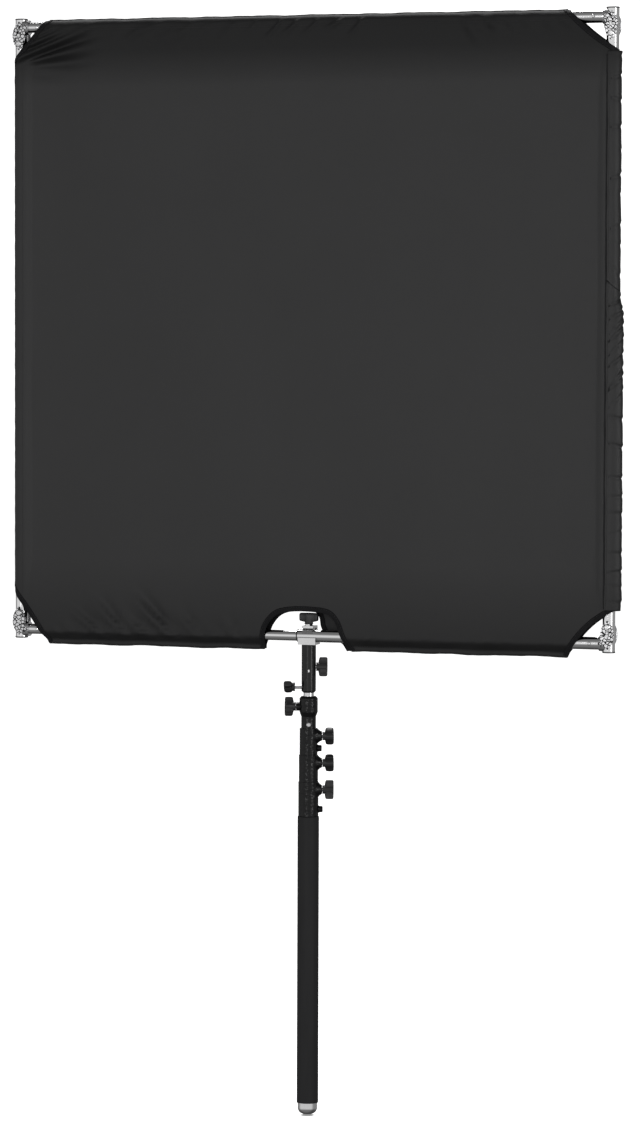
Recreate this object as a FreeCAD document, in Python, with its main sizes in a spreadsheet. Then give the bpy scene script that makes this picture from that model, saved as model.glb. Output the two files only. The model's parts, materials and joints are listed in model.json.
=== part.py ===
import FreeCAD, Part

import os

import Sketcher
from FreeCAD import Placement, Rotation, Vector

# A black fabric flag on a chrome tube frame, clamped by its bottom rail on a telescopic pole.
# +Z is up, +X is the flag's right as seen from the front, and the front faces -Y.
# The origin is on the pole's axis, at the lower end of its grip sleeve.
# Every length is in millimetres and every angle in degrees.

DIMENSIONS = {
    # The pole, four tubes that slide in each other.
    "grip_length": 441,
    "grip_radius": 16.5,
    "tube_radius_a": 14.0,
    "tube_radius_b": 12.7,
    "tube_radius_c": 11.4,
    "tube_radius_d": 10.1,
    "tube_wall": 1.0,
    "tube_lift": 8,
    "foot_radius": 15,
    "foot_height": 18,
    "foot_rounding": 10,
    "plug_depth": 20,
    # The clamp collars at the tubes' upper ends, stacked while the pole is closed.
    "collar_top_a": 493,
    "collar_top_b": 534,
    "collar_top_c": 575,
    "collar_radius_a": 15.5,
    "collar_radius_b": 14.75,
    "collar_radius_c": 13.75,
    "collar_gap": 0.4,
    "clamped_height": 21,
    "screw_below_top": 12,
    "lug_radius": 6.5,
    "lug_reach": 21,
    "ear_radius": 4,
    "ear_above_base": 10,
    # The pole head and the spigots.
    "head_height": 49,
    "head_radius": 14,
    "neck_radius": 11.3,
    "neck_height": 21,
    "head_knob_height": 33,
    "spigot_radius": 7.95,
    "socket_radius": 8.0,
    "spigot_bottom": 600,
    "spigot_length": 52,
    "receiver_bottom": 629.5,
    "receiver_length": 73,
    "receiver_radius": 11,
    "receiver_low_knob": 8.5,
    "receiver_high_knob": 39.5,
    # The T knobs and their screws.
    "knob_hub_radius": 5.5,
    "knob_hub_height": 6.5,
    "knob_bar_length": 29,
    "knob_bar_width": 8.5,
    "knob_bar_height": 10.5,
    "knob_gap": 0.6,
    "knob_screw_radius": 3.0,
    "screw_hole_radius": 3.06,
    "screw_in_hub": 5,
    "tip_clearance": 0.35,
    # The clamp that holds the bottom rail.
    "jaw_width": 28,
    "jaw_bottom": 703,
    "jaw_depth": 24,
    "jaw_web_front": 10.5,
    "jaw_web_depth": 5,
    "jaw_lip_width": 18,
    "jaw_lip_bottom": 728,
    "jaw_lip_height": 3.5,
    "jaw_lip_front": 8,
    "cradle_height": 10.5,
    "rail_clearance": 0.1,
    "saddle_radius": 11.7,
    "saddle_length": 17,
    "saddle_chord": 5.5,
    "nut_radius": 6,
    "nut_height": 2.4,
    # The frame, a square of tubes. The left half rails slide inside the right ones.
    "rail_height": 716,
    "frame_width": 940,
    "frame_height": 930,
    "frame_tube_radius": 9.5,
    "frame_tube_wall": 1.0,
    "inner_rail_radius": 8.0,
    "rail_mouth": -16,
    "rail_overlap": 60,
    "bush_length": 22,
    "bush_flange": 2,
    "upright_overhang": 12,
    "cap_radius": 9.9,
    "cap_height": 2,
    "cap_plug": 6,
    # The corner brackets, leaf shaped cheeks on both sides of each upright.
    "cheek_outer": 12,
    "cheek_inner": 9.8,
    "leaf_radius": 28.3,
    "leaf_half_width": 10.5,
    "leaf_centre": 13,
    "bracket_collar_end": 14,
    "bracket_collar_radius": 11.5,
    "bracket_plug_end": 36,
    "bolt_offset": 25,
    "bolt_radius": 3,
    "bolt_head_radius": 4.75,
    "bolt_head_height": 2.4,
    "button_offset": 12,
    "button_radius": 2.2,
    "rivet_offset": 28,
    "rivet_radius": 1.5,
    "rivet_head_radius": 2.7,
    "rivet_head_height": 1.0,
    "rivet_depth": 6,
    "close_fit": 0.05,
    # The fabric cover, stand-ins that are flat and clear of the tubes.
    "sheet_thickness": 0.6,
    "sheet_front": 12.8,
    "sheet_back": 14.9,
    "sheet_edge": 10.5,
    "hem_drop": 21,
    "left_cut_width": 46,
    "left_cut_height": 49,
    "right_cut_width": 62,
    "right_cut_height": 49,
    "notch_rise": 38,
    "notch_left_top": -47,
    "notch_left_bottom": -69,
    "notch_right_top": 30,
    "notch_right_bottom": 65,
    "back_notch_right_top": 20,
    "binding_width": 9,
    "flap_inner": 5,
    "flap_upper_reach": 14,
    "flap_lower_reach": 19,
    "flap_split": 1262,
    "flap_gap": 6,
    "strip_width": 14,
}

# Where the knobs point, seen from above and counted from +X towards +Y, and how each is turned.
RIGHT_SIDE = 16
LEFT_SIDE = 196
COLLAR_KNOB_SPINS = {"a": 12, "b": 52, "c": 52}
HEAD_SCREW_SIDE = -72

doc = FreeCAD.newDocument("flag_panel")
sheet = doc.addObject("Spreadsheet::Sheet", "sizes")
for row, (alias, value) in enumerate(DIMENSIONS.items(), 1):
    sheet.set(f"A{row}", alias.replace("_", " "))
    sheet.set(f"B{row}", str(value))
    sheet.setAlias(f"B{row}", alias)
doc.recompute()


class Size:
    """A length: its value now, and the expression on the sheet that it follows."""

    def __init__(self, value, text=None):
        self.value = float(value)
        self.text = text or f"{value:g}"

    def __add__(self, other):
        other = as_size(other)
        return Size(self.value + other.value, f"({self.text} + {other.text})")

    def __sub__(self, other):
        other = as_size(other)
        return Size(self.value - other.value, f"({self.text} - {other.text})")

    def __mul__(self, factor):
        return Size(self.value * factor, f"({self.text} * {factor:g})")

    def __neg__(self):
        return Size(-self.value, f"(0 - {self.text})")


def as_size(length):
    return length if isinstance(length, Size) else Size(length)


def size(alias):
    return Size(DIMENSIONS[alias], f"sizes.{alias}")


def bind(thing, prop, length):
    thing.setExpression(prop, as_size(length).text)


def place(thing, base=(0, 0, 0), rotation=Rotation()):
    thing.Placement = Placement(Vector(*[as_size(b).value for b in base]), rotation)
    for axis, length in zip("xyz", base):
        if isinstance(length, Size):
            bind(thing, f".Placement.Base.{axis}", length)
    return thing


# Turns that take a piece's own +Z to another direction.
ALONG_X = Rotation(Vector(0, 1, 0), 90)
ALONG_Y = Rotation(Vector(1, 0, 0), -90)
TOWARDS_FRONT = Rotation(Vector(1, 0, 0), 90)


def about_z(angle):
    return Rotation(Vector(0, 0, 1), angle)


def new_body(label):
    body = doc.addObject("PartDesign::Body", f"{label}_body")
    body.Label = label
    return body


def new_sketch(body, plane, offset=0):
    sketch = body.newObject("Sketcher::SketchObject", f"{body.Name}_sketch")
    support = next(f for f in body.Origin.OriginFeatures if f.Role == plane)
    sketch.AttachmentSupport = [(support, "")]
    sketch.MapMode = "FlatFace"
    if isinstance(offset, Size):
        bind(sketch, ".AttachmentOffset.Base.z", offset)
    return sketch


def constrain(sketch, kind, *arguments):
    """Adds a constraint whose last argument is a length, and ties it to the sheet."""
    length = as_size(arguments[-1])
    number = sketch.addConstraint(Sketcher.Constraint(kind, *arguments[:-1], length.value))
    name = f"size_{number}"
    sketch.renameConstraint(number, name)
    bind(sketch, f"Constraints.{name}", length)


def fix_point(sketch, edge, end, x, y):
    """Holds a point of the sketch at x, y; a zero puts it on the axis."""
    for kind, axis, length in (("DistanceX", -2, x), ("DistanceY", -1, y)):
        if as_size(length).value == 0:
            sketch.addConstraint(Sketcher.Constraint("PointOnObject", edge, end, axis))
        else:
            constrain(sketch, kind, -1, 1, edge, end, length)


def outline(sketch, points):
    """A closed outline of straight edges through the points."""
    corners = [Vector(as_size(x).value, as_size(y).value, 0) for x, y in points]
    for corner, following in zip(corners, corners[1:] + corners[:1]):
        sketch.addGeometry(Part.LineSegment(corner, following), False)
    for number in range(len(points)):
        following = (number + 1) % len(points)
        sketch.addConstraint(Sketcher.Constraint("Coincident", number, 2, following, 1))
    for number, (x, y) in enumerate(points):
        fix_point(sketch, number, 1, x, y)


def circle(sketch, radius, x=0, y=0):
    """A circle of the given radius about x, y."""
    centre = Vector(as_size(x).value, as_size(y).value, 0)
    number = sketch.addGeometry(Part.Circle(centre, Vector(0, 0, 1), radius.value), False)
    constrain(sketch, "Radius", number, radius)
    fix_point(sketch, number, 3, x, y)


def feature(body, kind, sketch, length=None, backwards=False):
    """A pad or pocket of the sketch; backwards turns it round."""
    made = body.newObject(f"PartDesign::{kind}", f"{body.Name}_{kind.lower()}")
    made.Profile = sketch
    made.Reversed = backwards
    if length is not None:
        bind(made, "Length", length)
    sketch.Visibility = False
    return made


def turned(label, profile, base=(0, 0, 0), rotation=Rotation()):
    """A piece made on a lathe: the profile is in radius and height."""
    body = new_body(label)
    sketch = new_sketch(body, "XZ_Plane")
    outline(sketch, profile)
    lathe = body.newObject("PartDesign::Revolution", f"{label}_turning")
    lathe.Profile = sketch
    lathe.ReferenceAxis = (sketch, ["V_Axis"])
    lathe.Angle = 360
    return place(body, base, rotation)


def tube(label, radius, bore, length, base=(0, 0, 0), rotation=Rotation()):
    """A tube along its own Z."""
    body = new_body(label)
    sketch = new_sketch(body, "XY_Plane")
    circle(sketch, radius)
    circle(sketch, bore)
    feature(body, "Pad", sketch, length)
    return place(body, base, rotation)


def plate(label, points, thickness, front, back=None):
    """A flat plate in the XZ plane, with its front face at y = -front."""
    body = new_body(label)
    sketch = new_sketch(body, "XZ_Plane")
    outline(sketch, points)
    feature(body, "Pad", sketch, thickness)
    level = thickness - front if back is None else back + thickness
    return place(body, (0, level, 0))


def cylinder(name, radius, length, base=(0, 0, 0), rotation=Rotation()):
    made = doc.addObject("Part::Cylinder", name)
    bind(made, "Radius", radius)
    bind(made, "Height", length)
    return place(made, base, rotation)


def box(name, lengths, base):
    made = doc.addObject("Part::Box", name)
    for prop, length in zip(("Length", "Width", "Height"), lengths):
        bind(made, prop, length)
    return place(made, base)


def fuse(name, *pieces):
    made = doc.addObject("Part::MultiFuse", name)
    made.Shapes = list(pieces)
    return made


def common(name, *pieces):
    made = doc.addObject("Part::MultiCommon", name)
    made.Shapes = list(pieces)
    return made


def cut(name, piece, tool):
    made = doc.addObject("Part::Cut", name)
    made.Base = piece
    made.Tool = tool
    return made


def group(name, *pieces):
    """Identical fasteners as separate solids of one sub-part."""
    made = doc.addObject("Part::Compound", name)
    made.Links = list(pieces)
    return made


def finished(piece, label):
    piece.Label = label
    return piece


subparts = []


def keep(*pieces):
    subparts.extend(pieces)


# ---------------------------------------------------------------------------
# The pole
# ---------------------------------------------------------------------------

wall = size("tube_wall")
fit = size("close_fit")
collar_bottoms = {
    "a": size("grip_length"),
    "b": size("collar_top_a") + size("collar_gap"),
    "c": size("collar_top_b") + size("collar_gap"),
}
inner_radius = {
    "a": size("tube_radius_b"),
    "b": size("tube_radius_c"),
    "c": size("tube_radius_d"),
}


def make_grip():
    outer = size("grip_radius")
    bore = size("tube_radius_a") + fit
    length = size("grip_length") - 0.5
    profile = [
        (bore, Size(0)),
        (outer, Size(0)),
        (outer, length - 1),
        (outer - 1, length),
        (bore, length),
    ]
    keep(turned("grip_sleeve", profile))


def make_foot():
    """A domed cap with a plug that goes up inside the outer tube."""
    dome = cylinder(
        "foot_blank", size("foot_radius"), size("foot_height"), (0, 0, -size("foot_height"))
    )
    doc.recompute()
    lowest = -DIMENSIONS["foot_height"] + 0.01
    rims = [
        number
        for number, edge in enumerate(dome.Shape.Edges, 1)
        if edge.BoundBox.ZMax < lowest
    ]
    rounded = doc.addObject("Part::Fillet", "foot_dome")
    rounded.Base = dome
    rounding = DIMENSIONS["foot_rounding"]
    rounded.Edges = [(number, rounding, rounding) for number in rims]
    plug = cylinder("foot_plug", size("tube_radius_a") - wall - fit, size("plug_depth"))
    keep(finished(fuse("foot", rounded, plug), "foot_cap"))


def make_tubes():
    """The four tubes; each ends where the narrow part of its collar begins."""
    tops = {key: size(f"collar_top_{key}") - size("clamped_height") for key in "abc"}
    tops["d"] = size("collar_top_c") + size("neck_height")
    labels = {"a": "outer_tube", "b": "second_tube", "c": "third_tube", "d": "inner_tube"}
    lift = {
        "a": Size(0),
        "b": size("plug_depth") + size("tube_lift"),
        "c": size("plug_depth") + size("tube_lift") * 2,
        "d": size("plug_depth") + size("tube_lift") * 3,
    }
    for key in "abc":
        radius = size(f"tube_radius_{key}")
        length = tops[key] - lift[key] - 0.2
        keep(tube(labels[key], radius, radius - wall, length, (0, 0, lift[key])))
    radius = size("tube_radius_d")
    length = tops["d"] - lift["d"]
    blank = tube("inner_tube_blank", radius, radius - wall, length, (0, 0, lift["d"]))
    drilled = cut("inner_tube_drilled", blank, head_screw_hole("inner_tube_hole"))
    keep(finished(drilled, labels["d"]))


def head_screw_hole(name):
    """A hole through one side of the pole head's neck."""
    turn = about_z(HEAD_SCREW_SIDE).multiply(ALONG_X)
    level = size("collar_top_c") + 6
    return cylinder(name, size("rivet_radius") + 0.5 + fit, Size(30), (0, 0, level), turn)


def make_collar(key, ear):
    """A collar fixed on one tube, whose upper part closes on the next tube."""
    height = size(f"collar_top_{key}") - collar_bottoms[key]
    radius = size(f"collar_radius_{key}")
    screw_level = height - size("screw_below_top")
    body = new_body(f"clamp_collar_{key}")
    barrel = new_sketch(body, "XY_Plane")
    circle(barrel, radius)
    feature(body, "Pad", barrel, height)
    lug = new_sketch(body, "YZ_Plane")
    circle(lug, size("lug_radius"), 0, screw_level)
    feature(body, "Pad", lug, size("lug_reach"))
    if ear:
        boss = new_sketch(body, "YZ_Plane")
        circle(boss, size("ear_radius"), 0, size("ear_above_base"))
        feature(body, "Pad", boss, radius + 6)
    narrow = new_sketch(body, "XY_Plane")
    circle(narrow, inner_radius[key] + 0.08)
    feature(body, "Pocket", narrow, height, True)
    wide = new_sketch(body, "XY_Plane")
    circle(wide, size(f"tube_radius_{key}") + fit)
    feature(body, "Pocket", wide, height - size("clamped_height"), True)
    screw_hole = new_sketch(body, "YZ_Plane")
    circle(screw_hole, size("screw_hole_radius"), 0, screw_level)
    feature(body, "Pocket", screw_hole, size("lug_reach") + 1, True)
    keep(place(body, (0, 0, collar_bottoms[key]), about_z(RIGHT_SIDE)))


def make_head():
    """The pole head: a neck on the inner tube, and a socket for the lower spigot."""
    neck = size("neck_radius")
    radius = size("head_radius")
    height = size("head_height")
    profile = [
        (Size(0), collar_gap()),
        (neck, collar_gap()),
        (neck, size("neck_height") - 3),
        (radius, size("neck_height") + 4),
        (radius, height - 3),
        (radius - 3, height),
        (Size(0), height),
    ]
    solid = turned("pole_head_blank", profile, (0, 0, size("collar_top_c")))
    knob_level = size("collar_top_c") + size("head_knob_height")
    to_knob = about_z(LEFT_SIDE).multiply(ALONG_X)
    lug = cylinder("head_lug", size("lug_radius"), size("lug_reach") - 2, (0, 0, knob_level), to_knob)
    bore = cylinder(
        "head_bore",
        size("tube_radius_d") + fit,
        size("neck_height") + fit,
        (0, 0, size("collar_top_c")),
    )
    socket = cylinder(
        "head_socket",
        size("socket_radius"),
        size("head_height") - size("neck_height"),
        (0, 0, size("collar_top_c") + size("neck_height") + 2.5),
    )
    screw = cylinder("head_knob_hole", size("screw_hole_radius"), Size(40), (0, 0, knob_level), to_knob)
    tools = fuse("head_tools", bore, socket, screw, head_screw_hole("head_neck_hole"))
    keep(finished(cut("head_cut", fuse("head_solid", solid, lug), tools), "pole_head"))


def collar_gap():
    return size("collar_gap")


def make_head_screw():
    """The screw that holds the pole head on the inner tube."""
    neck = size("neck_radius")
    shank = size("rivet_radius") + 0.5
    profile = [
        (Size(0), size("tube_radius_d") - wall),
        (shank, size("tube_radius_d") - wall),
        (shank, neck + 0.1),
        (shank + 1.6, neck + 0.1),
        (shank + 1.4, neck + 1.4),
        (shank + 0.4, neck + 2),
        (Size(0), neck + 2),
    ]
    turn = about_z(HEAD_SCREW_SIDE).multiply(ALONG_X)
    keep(turned("neck_screw", profile, (0, 0, size("collar_top_c") + 6), turn))


# ---------------------------------------------------------------------------
# T knobs, each on its own screw
# ---------------------------------------------------------------------------


def make_knob(name, level, side, spin, face, tip, gap):
    """A T knob whose screw goes in at the given level, and points to the given side.

    face is how far the knob's seat is from the pole's axis, tip how far the screw's end is,
    and gap the length of screw left showing.
    """
    direction = Vector(0, 0, 1) if side is None else about_z(side).multVec(Vector(1, 0, 0))
    towards = Rotation(Vector(0, 0, 1), direction).multiply(about_z(spin))
    seat = face + gap
    bound = (0, 0, level + seat) if side is None else (
        seat * direction.x,
        seat * direction.y,
        level,
    )
    body = new_body(f"{name}_knob")
    hub = new_sketch(body, "XY_Plane")
    circle(hub, size("knob_hub_radius"))
    feature(body, "Pad", hub, size("knob_hub_height") + 1)
    bar = new_sketch(body, "XY_Plane", size("knob_hub_height"))
    half_length = size("knob_bar_length") * 0.5
    half_width = size("knob_bar_width") * 0.5
    nose = half_length - 2.5
    outline(
        bar,
        [
            (-half_length, -half_width + 2),
            (-nose, -half_width),
            (nose, -half_width),
            (half_length, -half_width + 2),
            (half_length, half_width - 2),
            (nose, half_width),
            (-nose, half_width),
            (-half_length, half_width - 2),
        ],
    )
    feature(body, "Pad", bar, size("knob_bar_height"))
    blind = new_sketch(body, "XY_Plane")
    circle(blind, size("knob_screw_radius") + fit)
    feature(body, "Pocket", blind, size("screw_in_hub") + 0.2, True)
    place(body, bound, towards)
    radius = size("knob_screw_radius")
    start = tip - seat
    profile = [
        (Size(0), start),
        (radius - 0.6, start),
        (radius, start + 0.6),
        (radius, size("screw_in_hub")),
        (Size(0), size("screw_in_hub")),
    ]
    keep(body, turned(f"{name}_knob_screw", profile, bound, towards))


def make_knobs():
    clearance = size("tip_clearance")
    gap = size("knob_gap")
    for key in "abc":
        level = size(f"collar_top_{key}") - size("screw_below_top")
        tip = inner_radius[key] + clearance
        spin = COLLAR_KNOB_SPINS[key]
        make_knob(f"collar_{key}", level, RIGHT_SIDE, spin, size("lug_reach"), tip, gap)
    tip = size("spigot_radius") + clearance
    head_level = size("collar_top_c") + size("head_knob_height")
    make_knob("head", head_level, LEFT_SIDE, 40, size("lug_reach") - 2, tip, gap)
    receiver = size("receiver_bottom")
    wall_face = size("receiver_radius")
    low = receiver + size("receiver_low_knob")
    make_knob("receiver_low", low, LEFT_SIDE, -48, wall_face, tip, Size(10))
    high = receiver + size("receiver_high_knob")
    make_knob("receiver_high", high, RIGHT_SIDE, 4, wall_face, tip, gap)
    rail = size("rail_height")
    saddle_top = rail + size("saddle_radius")
    nut_top = size("jaw_lip_bottom") + size("jaw_lip_height") + size("nut_height")
    make_knob("rail", rail, None, 0, nut_top - rail, saddle_top - rail + 0.2, Size(0.3))


# ---------------------------------------------------------------------------
# Spigots, receiver and the clamp that holds the bottom rail
# ---------------------------------------------------------------------------


def make_spigot(label, bottom, length):
    radius = size("spigot_radius")
    profile = [
        (Size(0), Size(0)),
        (radius - 1, Size(0)),
        (radius, Size(1)),
        (radius, length - 1),
        (radius - 1, length),
        (Size(0), length),
    ]
    keep(turned(label, profile, (0, 0, bottom)))


def make_receiver():
    """A sleeve that joins the two spigots, with a screw for each."""
    radius = size("receiver_radius")
    bore = size("socket_radius")
    length = size("receiver_length")
    profile = [
        (bore, Size(0)),
        (radius - 2.5, Size(0)),
        (radius, Size(2.5)),
        (radius, length - 0.8),
        (radius - 0.8, length),
        (bore, length),
    ]
    bottom = size("receiver_bottom")
    sleeve = turned("receiver_blank", profile, (0, 0, bottom))
    holes = fuse(
        "receiver_holes",
        cylinder(
            "receiver_low_hole",
            size("screw_hole_radius"),
            Size(20),
            (0, 0, bottom + size("receiver_low_knob")),
            about_z(LEFT_SIDE).multiply(ALONG_X),
        ),
        cylinder(
            "receiver_high_hole",
            size("screw_hole_radius"),
            Size(20),
            (0, 0, bottom + size("receiver_high_knob")),
            about_z(RIGHT_SIDE).multiply(ALONG_X),
        ),
        cylinder(
            "receiver_sight_hole",
            Size(2.2),
            Size(20),
            (0, 0, bottom + size("receiver_length") * 0.5 - 3),
            about_z(HEAD_SCREW_SIDE).multiply(ALONG_X),
        ),
    )
    keep(finished(cut("receiver_cut", sleeve, holes), "receiver_sleeve"))


def make_jaw():
    """A C shaped clamp, open at the front: cradle, back web and upper lip."""
    width = size("jaw_width")
    bottom = size("jaw_bottom")
    depth = size("jaw_depth")
    rail = size("rail_height")
    web_front = size("jaw_web_front")
    lip_width = size("jaw_lip_width")
    lip_top = size("jaw_lip_bottom") + size("jaw_lip_height")
    web_back = web_front + size("jaw_web_depth")
    cradle = box(
        "jaw_cradle",
        (width, depth, size("cradle_height")),
        (width * -0.5, depth * -0.5, bottom),
    )
    web = box(
        "jaw_web",
        (lip_width, size("jaw_web_depth"), lip_top - bottom),
        (lip_width * -0.5, web_front, bottom),
    )
    lip = box(
        "jaw_lip",
        (lip_width, size("jaw_lip_front") + web_back, size("jaw_lip_height")),
        (lip_width * -0.5, -size("jaw_lip_front"), size("jaw_lip_bottom")),
    )
    rail_space = cylinder(
        "jaw_rail_space",
        size("frame_tube_radius") + size("rail_clearance"),
        width * 2,
        (-width, 0, rail),
        ALONG_X,
    )
    screw_space = cylinder("jaw_screw_space", size("screw_hole_radius"), Size(20), (0, 0, rail))
    tools = fuse("jaw_tools", rail_space, screw_space)
    keep(finished(cut("jaw_cut", fuse("jaw_solid", cradle, web, lip), tools), "rail_jaw"))


def make_saddle():
    """The curved pad that the knob presses on the rail."""
    length = size("saddle_length")
    rail = size("rail_height")
    start = (length * -0.5, 0, rail)
    outside = cylinder("saddle_outside", size("saddle_radius"), length, start, ALONG_X)
    inner = size("frame_tube_radius") + size("rail_clearance")
    inside = cylinder("saddle_inside", inner, length, start, ALONG_X)
    keep_above = box(
        "saddle_above",
        (length, size("saddle_radius") * 2, size("saddle_radius")),
        (length * -0.5, -size("saddle_radius"), rail + size("saddle_chord")),
    )
    ring = cut("saddle_ring", outside, inside)
    keep(finished(common("saddle_arc", ring, keep_above), "pressure_saddle"))


def make_nut():
    prism = doc.addObject("Part::Prism", "nut_prism")
    prism.Polygon = 6
    bind(prism, "Circumradius", size("nut_radius"))
    bind(prism, "Height", size("nut_height"))
    level = size("jaw_lip_bottom") + size("jaw_lip_height")
    place(prism, (0, 0, level))
    hole = cylinder("nut_hole", size("screw_hole_radius"), Size(10), (0, 0, level - 2))
    keep(finished(cut("nut_cut", prism, hole), "jaw_nut"))


# ---------------------------------------------------------------------------
# The frame
# ---------------------------------------------------------------------------

half_width = size("frame_width") * 0.5
bottom_rail = size("rail_height")
top_rail = size("rail_height") + size("frame_height")
frame_radius = size("frame_tube_radius")
frame_bore = size("frame_tube_radius") - size("frame_tube_wall")
inner_rail = size("inner_rail_radius")
inner_bore = size("inner_rail_radius") - size("frame_tube_wall")


def corner_level(where, offset):
    """The height at the given distance inward of the bottom or the top rail."""
    return bottom_rail + offset if where == "bottom" else top_rail - offset


def cross_hole(name, radius, x, z, through):
    """A hole along Y at x, z; it goes through both walls or only the front one."""
    length = Size(60) if through else Size(30)
    return cylinder(name, radius, length, (x, -30, z), ALONG_Y)


def make_upright(side):
    x = -half_width if side == "left" else half_width
    overhang = size("upright_overhang")
    blank = tube(
        f"{side}_upright_blank",
        frame_radius,
        frame_bore,
        size("frame_height") + overhang * 2,
        (x, 0, bottom_rail - overhang),
    )
    holes = []
    for where in ("bottom", "top"):
        bolt_level = corner_level(where, size("bolt_offset"))
        button_level = corner_level(where, size("button_offset"))
        tag = f"{side}_{where}"
        holes.append(cross_hole(f"{tag}_bolt_hole", size("bolt_radius") + fit, x, bolt_level, True))
        holes.append(
            cross_hole(f"{tag}_button_hole", size("button_radius") + fit * 2, x, button_level, False)
        )
    drilled = cut(f"{side}_upright_drilled", blank, fuse(f"{side}_upright_holes", *holes))
    keep(finished(drilled, f"{side}_upright"))


def make_rails(where):
    """One rail in two halves; the left one slides in the right one, on a bush."""
    level = bottom_rail if where == "bottom" else top_rail
    end = size("bracket_collar_end")
    mouth = size("rail_mouth")
    rivet = size("rivet_radius") + fit
    outer = tube(
        f"{where}_outer_blank",
        frame_radius,
        frame_bore,
        half_width - end - mouth,
        (mouth, 0, level),
        ALONG_X,
    )
    outer_hole = cross_hole(
        f"{where}_outer_hole", rivet, half_width - size("rivet_offset"), level, False
    )
    keep(finished(cut(f"{where}_outer_drilled", outer, outer_hole), f"{where}_rail_right"))
    inner = tube(
        f"{where}_inner_blank",
        inner_rail,
        inner_bore,
        half_width - end + mouth + size("rail_overlap"),
        (-half_width + end, 0, level),
        ALONG_X,
    )
    inner_hole = cross_hole(
        f"{where}_inner_hole", rivet, -half_width + size("rivet_offset"), level, False
    )
    keep(finished(cut(f"{where}_inner_drilled", inner, inner_hole), f"{where}_rail_left"))
    flange = size("bush_flange")
    bore = inner_rail + 0.08
    profile = [
        (bore, -flange),
        (frame_radius - 0.3, -flange),
        (frame_radius, -flange + 0.3),
        (frame_radius, Size(0)),
        (frame_bore - 0.02, Size(0)),
        (frame_bore - 0.02, size("bush_length")),
        (bore, size("bush_length")),
    ]
    keep(turned(f"{where}_rail_bush", profile, (mouth, 0, level), ALONG_X))


# How each corner's bracket is turned from the bottom left one.
BRACKET_TURNS = {
    "bottom_left": Rotation(),
    "bottom_right": about_z(180),
    "top_left": Rotation(Vector(1, 0, 0), 180),
    "top_right": Rotation(Vector(0, 1, 0), 180),
}


def make_bracket(where, side):
    """Two leaf shaped cheeks, joined by a collar and a plug for the rail's end."""
    tag = f"{where}_{side}"
    outer = size("cheek_outer")
    leaf_radius = size("leaf_radius")
    leaf_shift = leaf_radius - size("leaf_half_width")
    leaf = common(
        f"{tag}_leaf",
        cylinder(
            f"{tag}_leaf_one",
            leaf_radius,
            outer * 2,
            (leaf_shift, -outer, size("leaf_centre")),
            ALONG_Y,
        ),
        cylinder(
            f"{tag}_leaf_two",
            leaf_radius,
            outer * 2,
            (-leaf_shift, -outer, size("leaf_centre")),
            ALONG_Y,
        ),
    )
    inner = size("cheek_inner")
    slot = box(f"{tag}_slot", (Size(60), inner * 2, Size(80)), (-30, -inner, -30))
    bore = inner_bore if side == "left" else frame_bore
    hub = cylinder(f"{tag}_hub", outer, size("bracket_collar_end") - 8, (4, 0, 0), ALONG_X)
    collar = cylinder(
        f"{tag}_collar",
        size("bracket_collar_radius"),
        size("bracket_collar_end") - 6,
        (6, 0, 0),
        ALONG_X,
    )
    plug = cylinder(f"{tag}_plug", bore - fit, size("bracket_plug_end") - 6, (6, 0, 0), ALONG_X)
    upright_space = cylinder(
        f"{tag}_upright_space", frame_radius + fit, Size(120), (0, 0, -60)
    )
    holes = (
        cross_hole(f"{tag}_cheek_bolt_hole", size("bolt_radius") + fit, 0, size("bolt_offset"), True),
        cross_hole(
            f"{tag}_cheek_button_hole",
            size("button_radius") + fit * 2,
            0,
            size("button_offset"),
            True,
        ),
        cross_hole(f"{tag}_plug_rivet_hole", size("rivet_radius") + fit, size("rivet_offset"), 0, True),
    )
    solid = fuse(f"{tag}_solid", cut(f"{tag}_cheeks", leaf, slot), hub, collar, plug)
    bracket = cut(f"{tag}_cut", solid, fuse(f"{tag}_tools", upright_space, *holes))
    x = -half_width if side == "left" else half_width
    level = bottom_rail if where == "bottom" else top_rail
    place(bracket, (x, 0, level), BRACKET_TURNS[tag])
    keep(finished(bracket, f"{tag}_bracket"))


def make_bolts(side):
    """The pivot bolts through the cheeks and the upright."""
    x = -half_width if side == "left" else half_width
    reach = size("cheek_outer") + 0.1
    head = reach + size("bolt_head_height")
    radius = size("bolt_radius")
    rim = size("bolt_head_radius")
    half = [
        (radius, reach),
        (rim, reach),
        (rim, reach + 1.2),
        (rim - 1.4, head),
        (radius - 1, head),
        (radius - 1.2, head - 1),
        (Size(0), head - 1),
    ]
    mirrored = [(r, -height) for r, height in reversed(half)]
    bolts = [
        turned(
            f"{side}_{where}_bolt",
            mirrored + half,
            (x, 0, corner_level(where, size("bolt_offset"))),
            ALONG_Y,
        )
        for where in ("bottom", "top")
    ]
    keep(finished(group(f"{side}_bolts", *bolts), f"{side}_corner_bolts"))


def make_rivets(side):
    """The rivets that hold the brackets' plugs in the rails."""
    x = -half_width + size("rivet_offset") if side == "left" else half_width - size("rivet_offset")
    surface = inner_rail if side == "left" else frame_radius
    radius = size("rivet_radius")
    rim = size("rivet_head_radius")
    profile = [
        (Size(0), surface - size("rivet_depth")),
        (radius, surface - size("rivet_depth")),
        (radius, surface + 0.05),
        (rim, surface + 0.05),
        (rim - 0.6, surface + 0.8),
        (rim - 1.6, surface + size("rivet_head_height")),
        (Size(0), surface + size("rivet_head_height")),
    ]
    rivets = [
        turned(f"{side}_{where}_rivet", profile, (x, 0, level), TOWARDS_FRONT)
        for where, level in (("bottom", bottom_rail), ("top", top_rail))
    ]
    keep(finished(group(f"{side}_rivets", *rivets), f"{side}_rail_rivets"))


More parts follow.
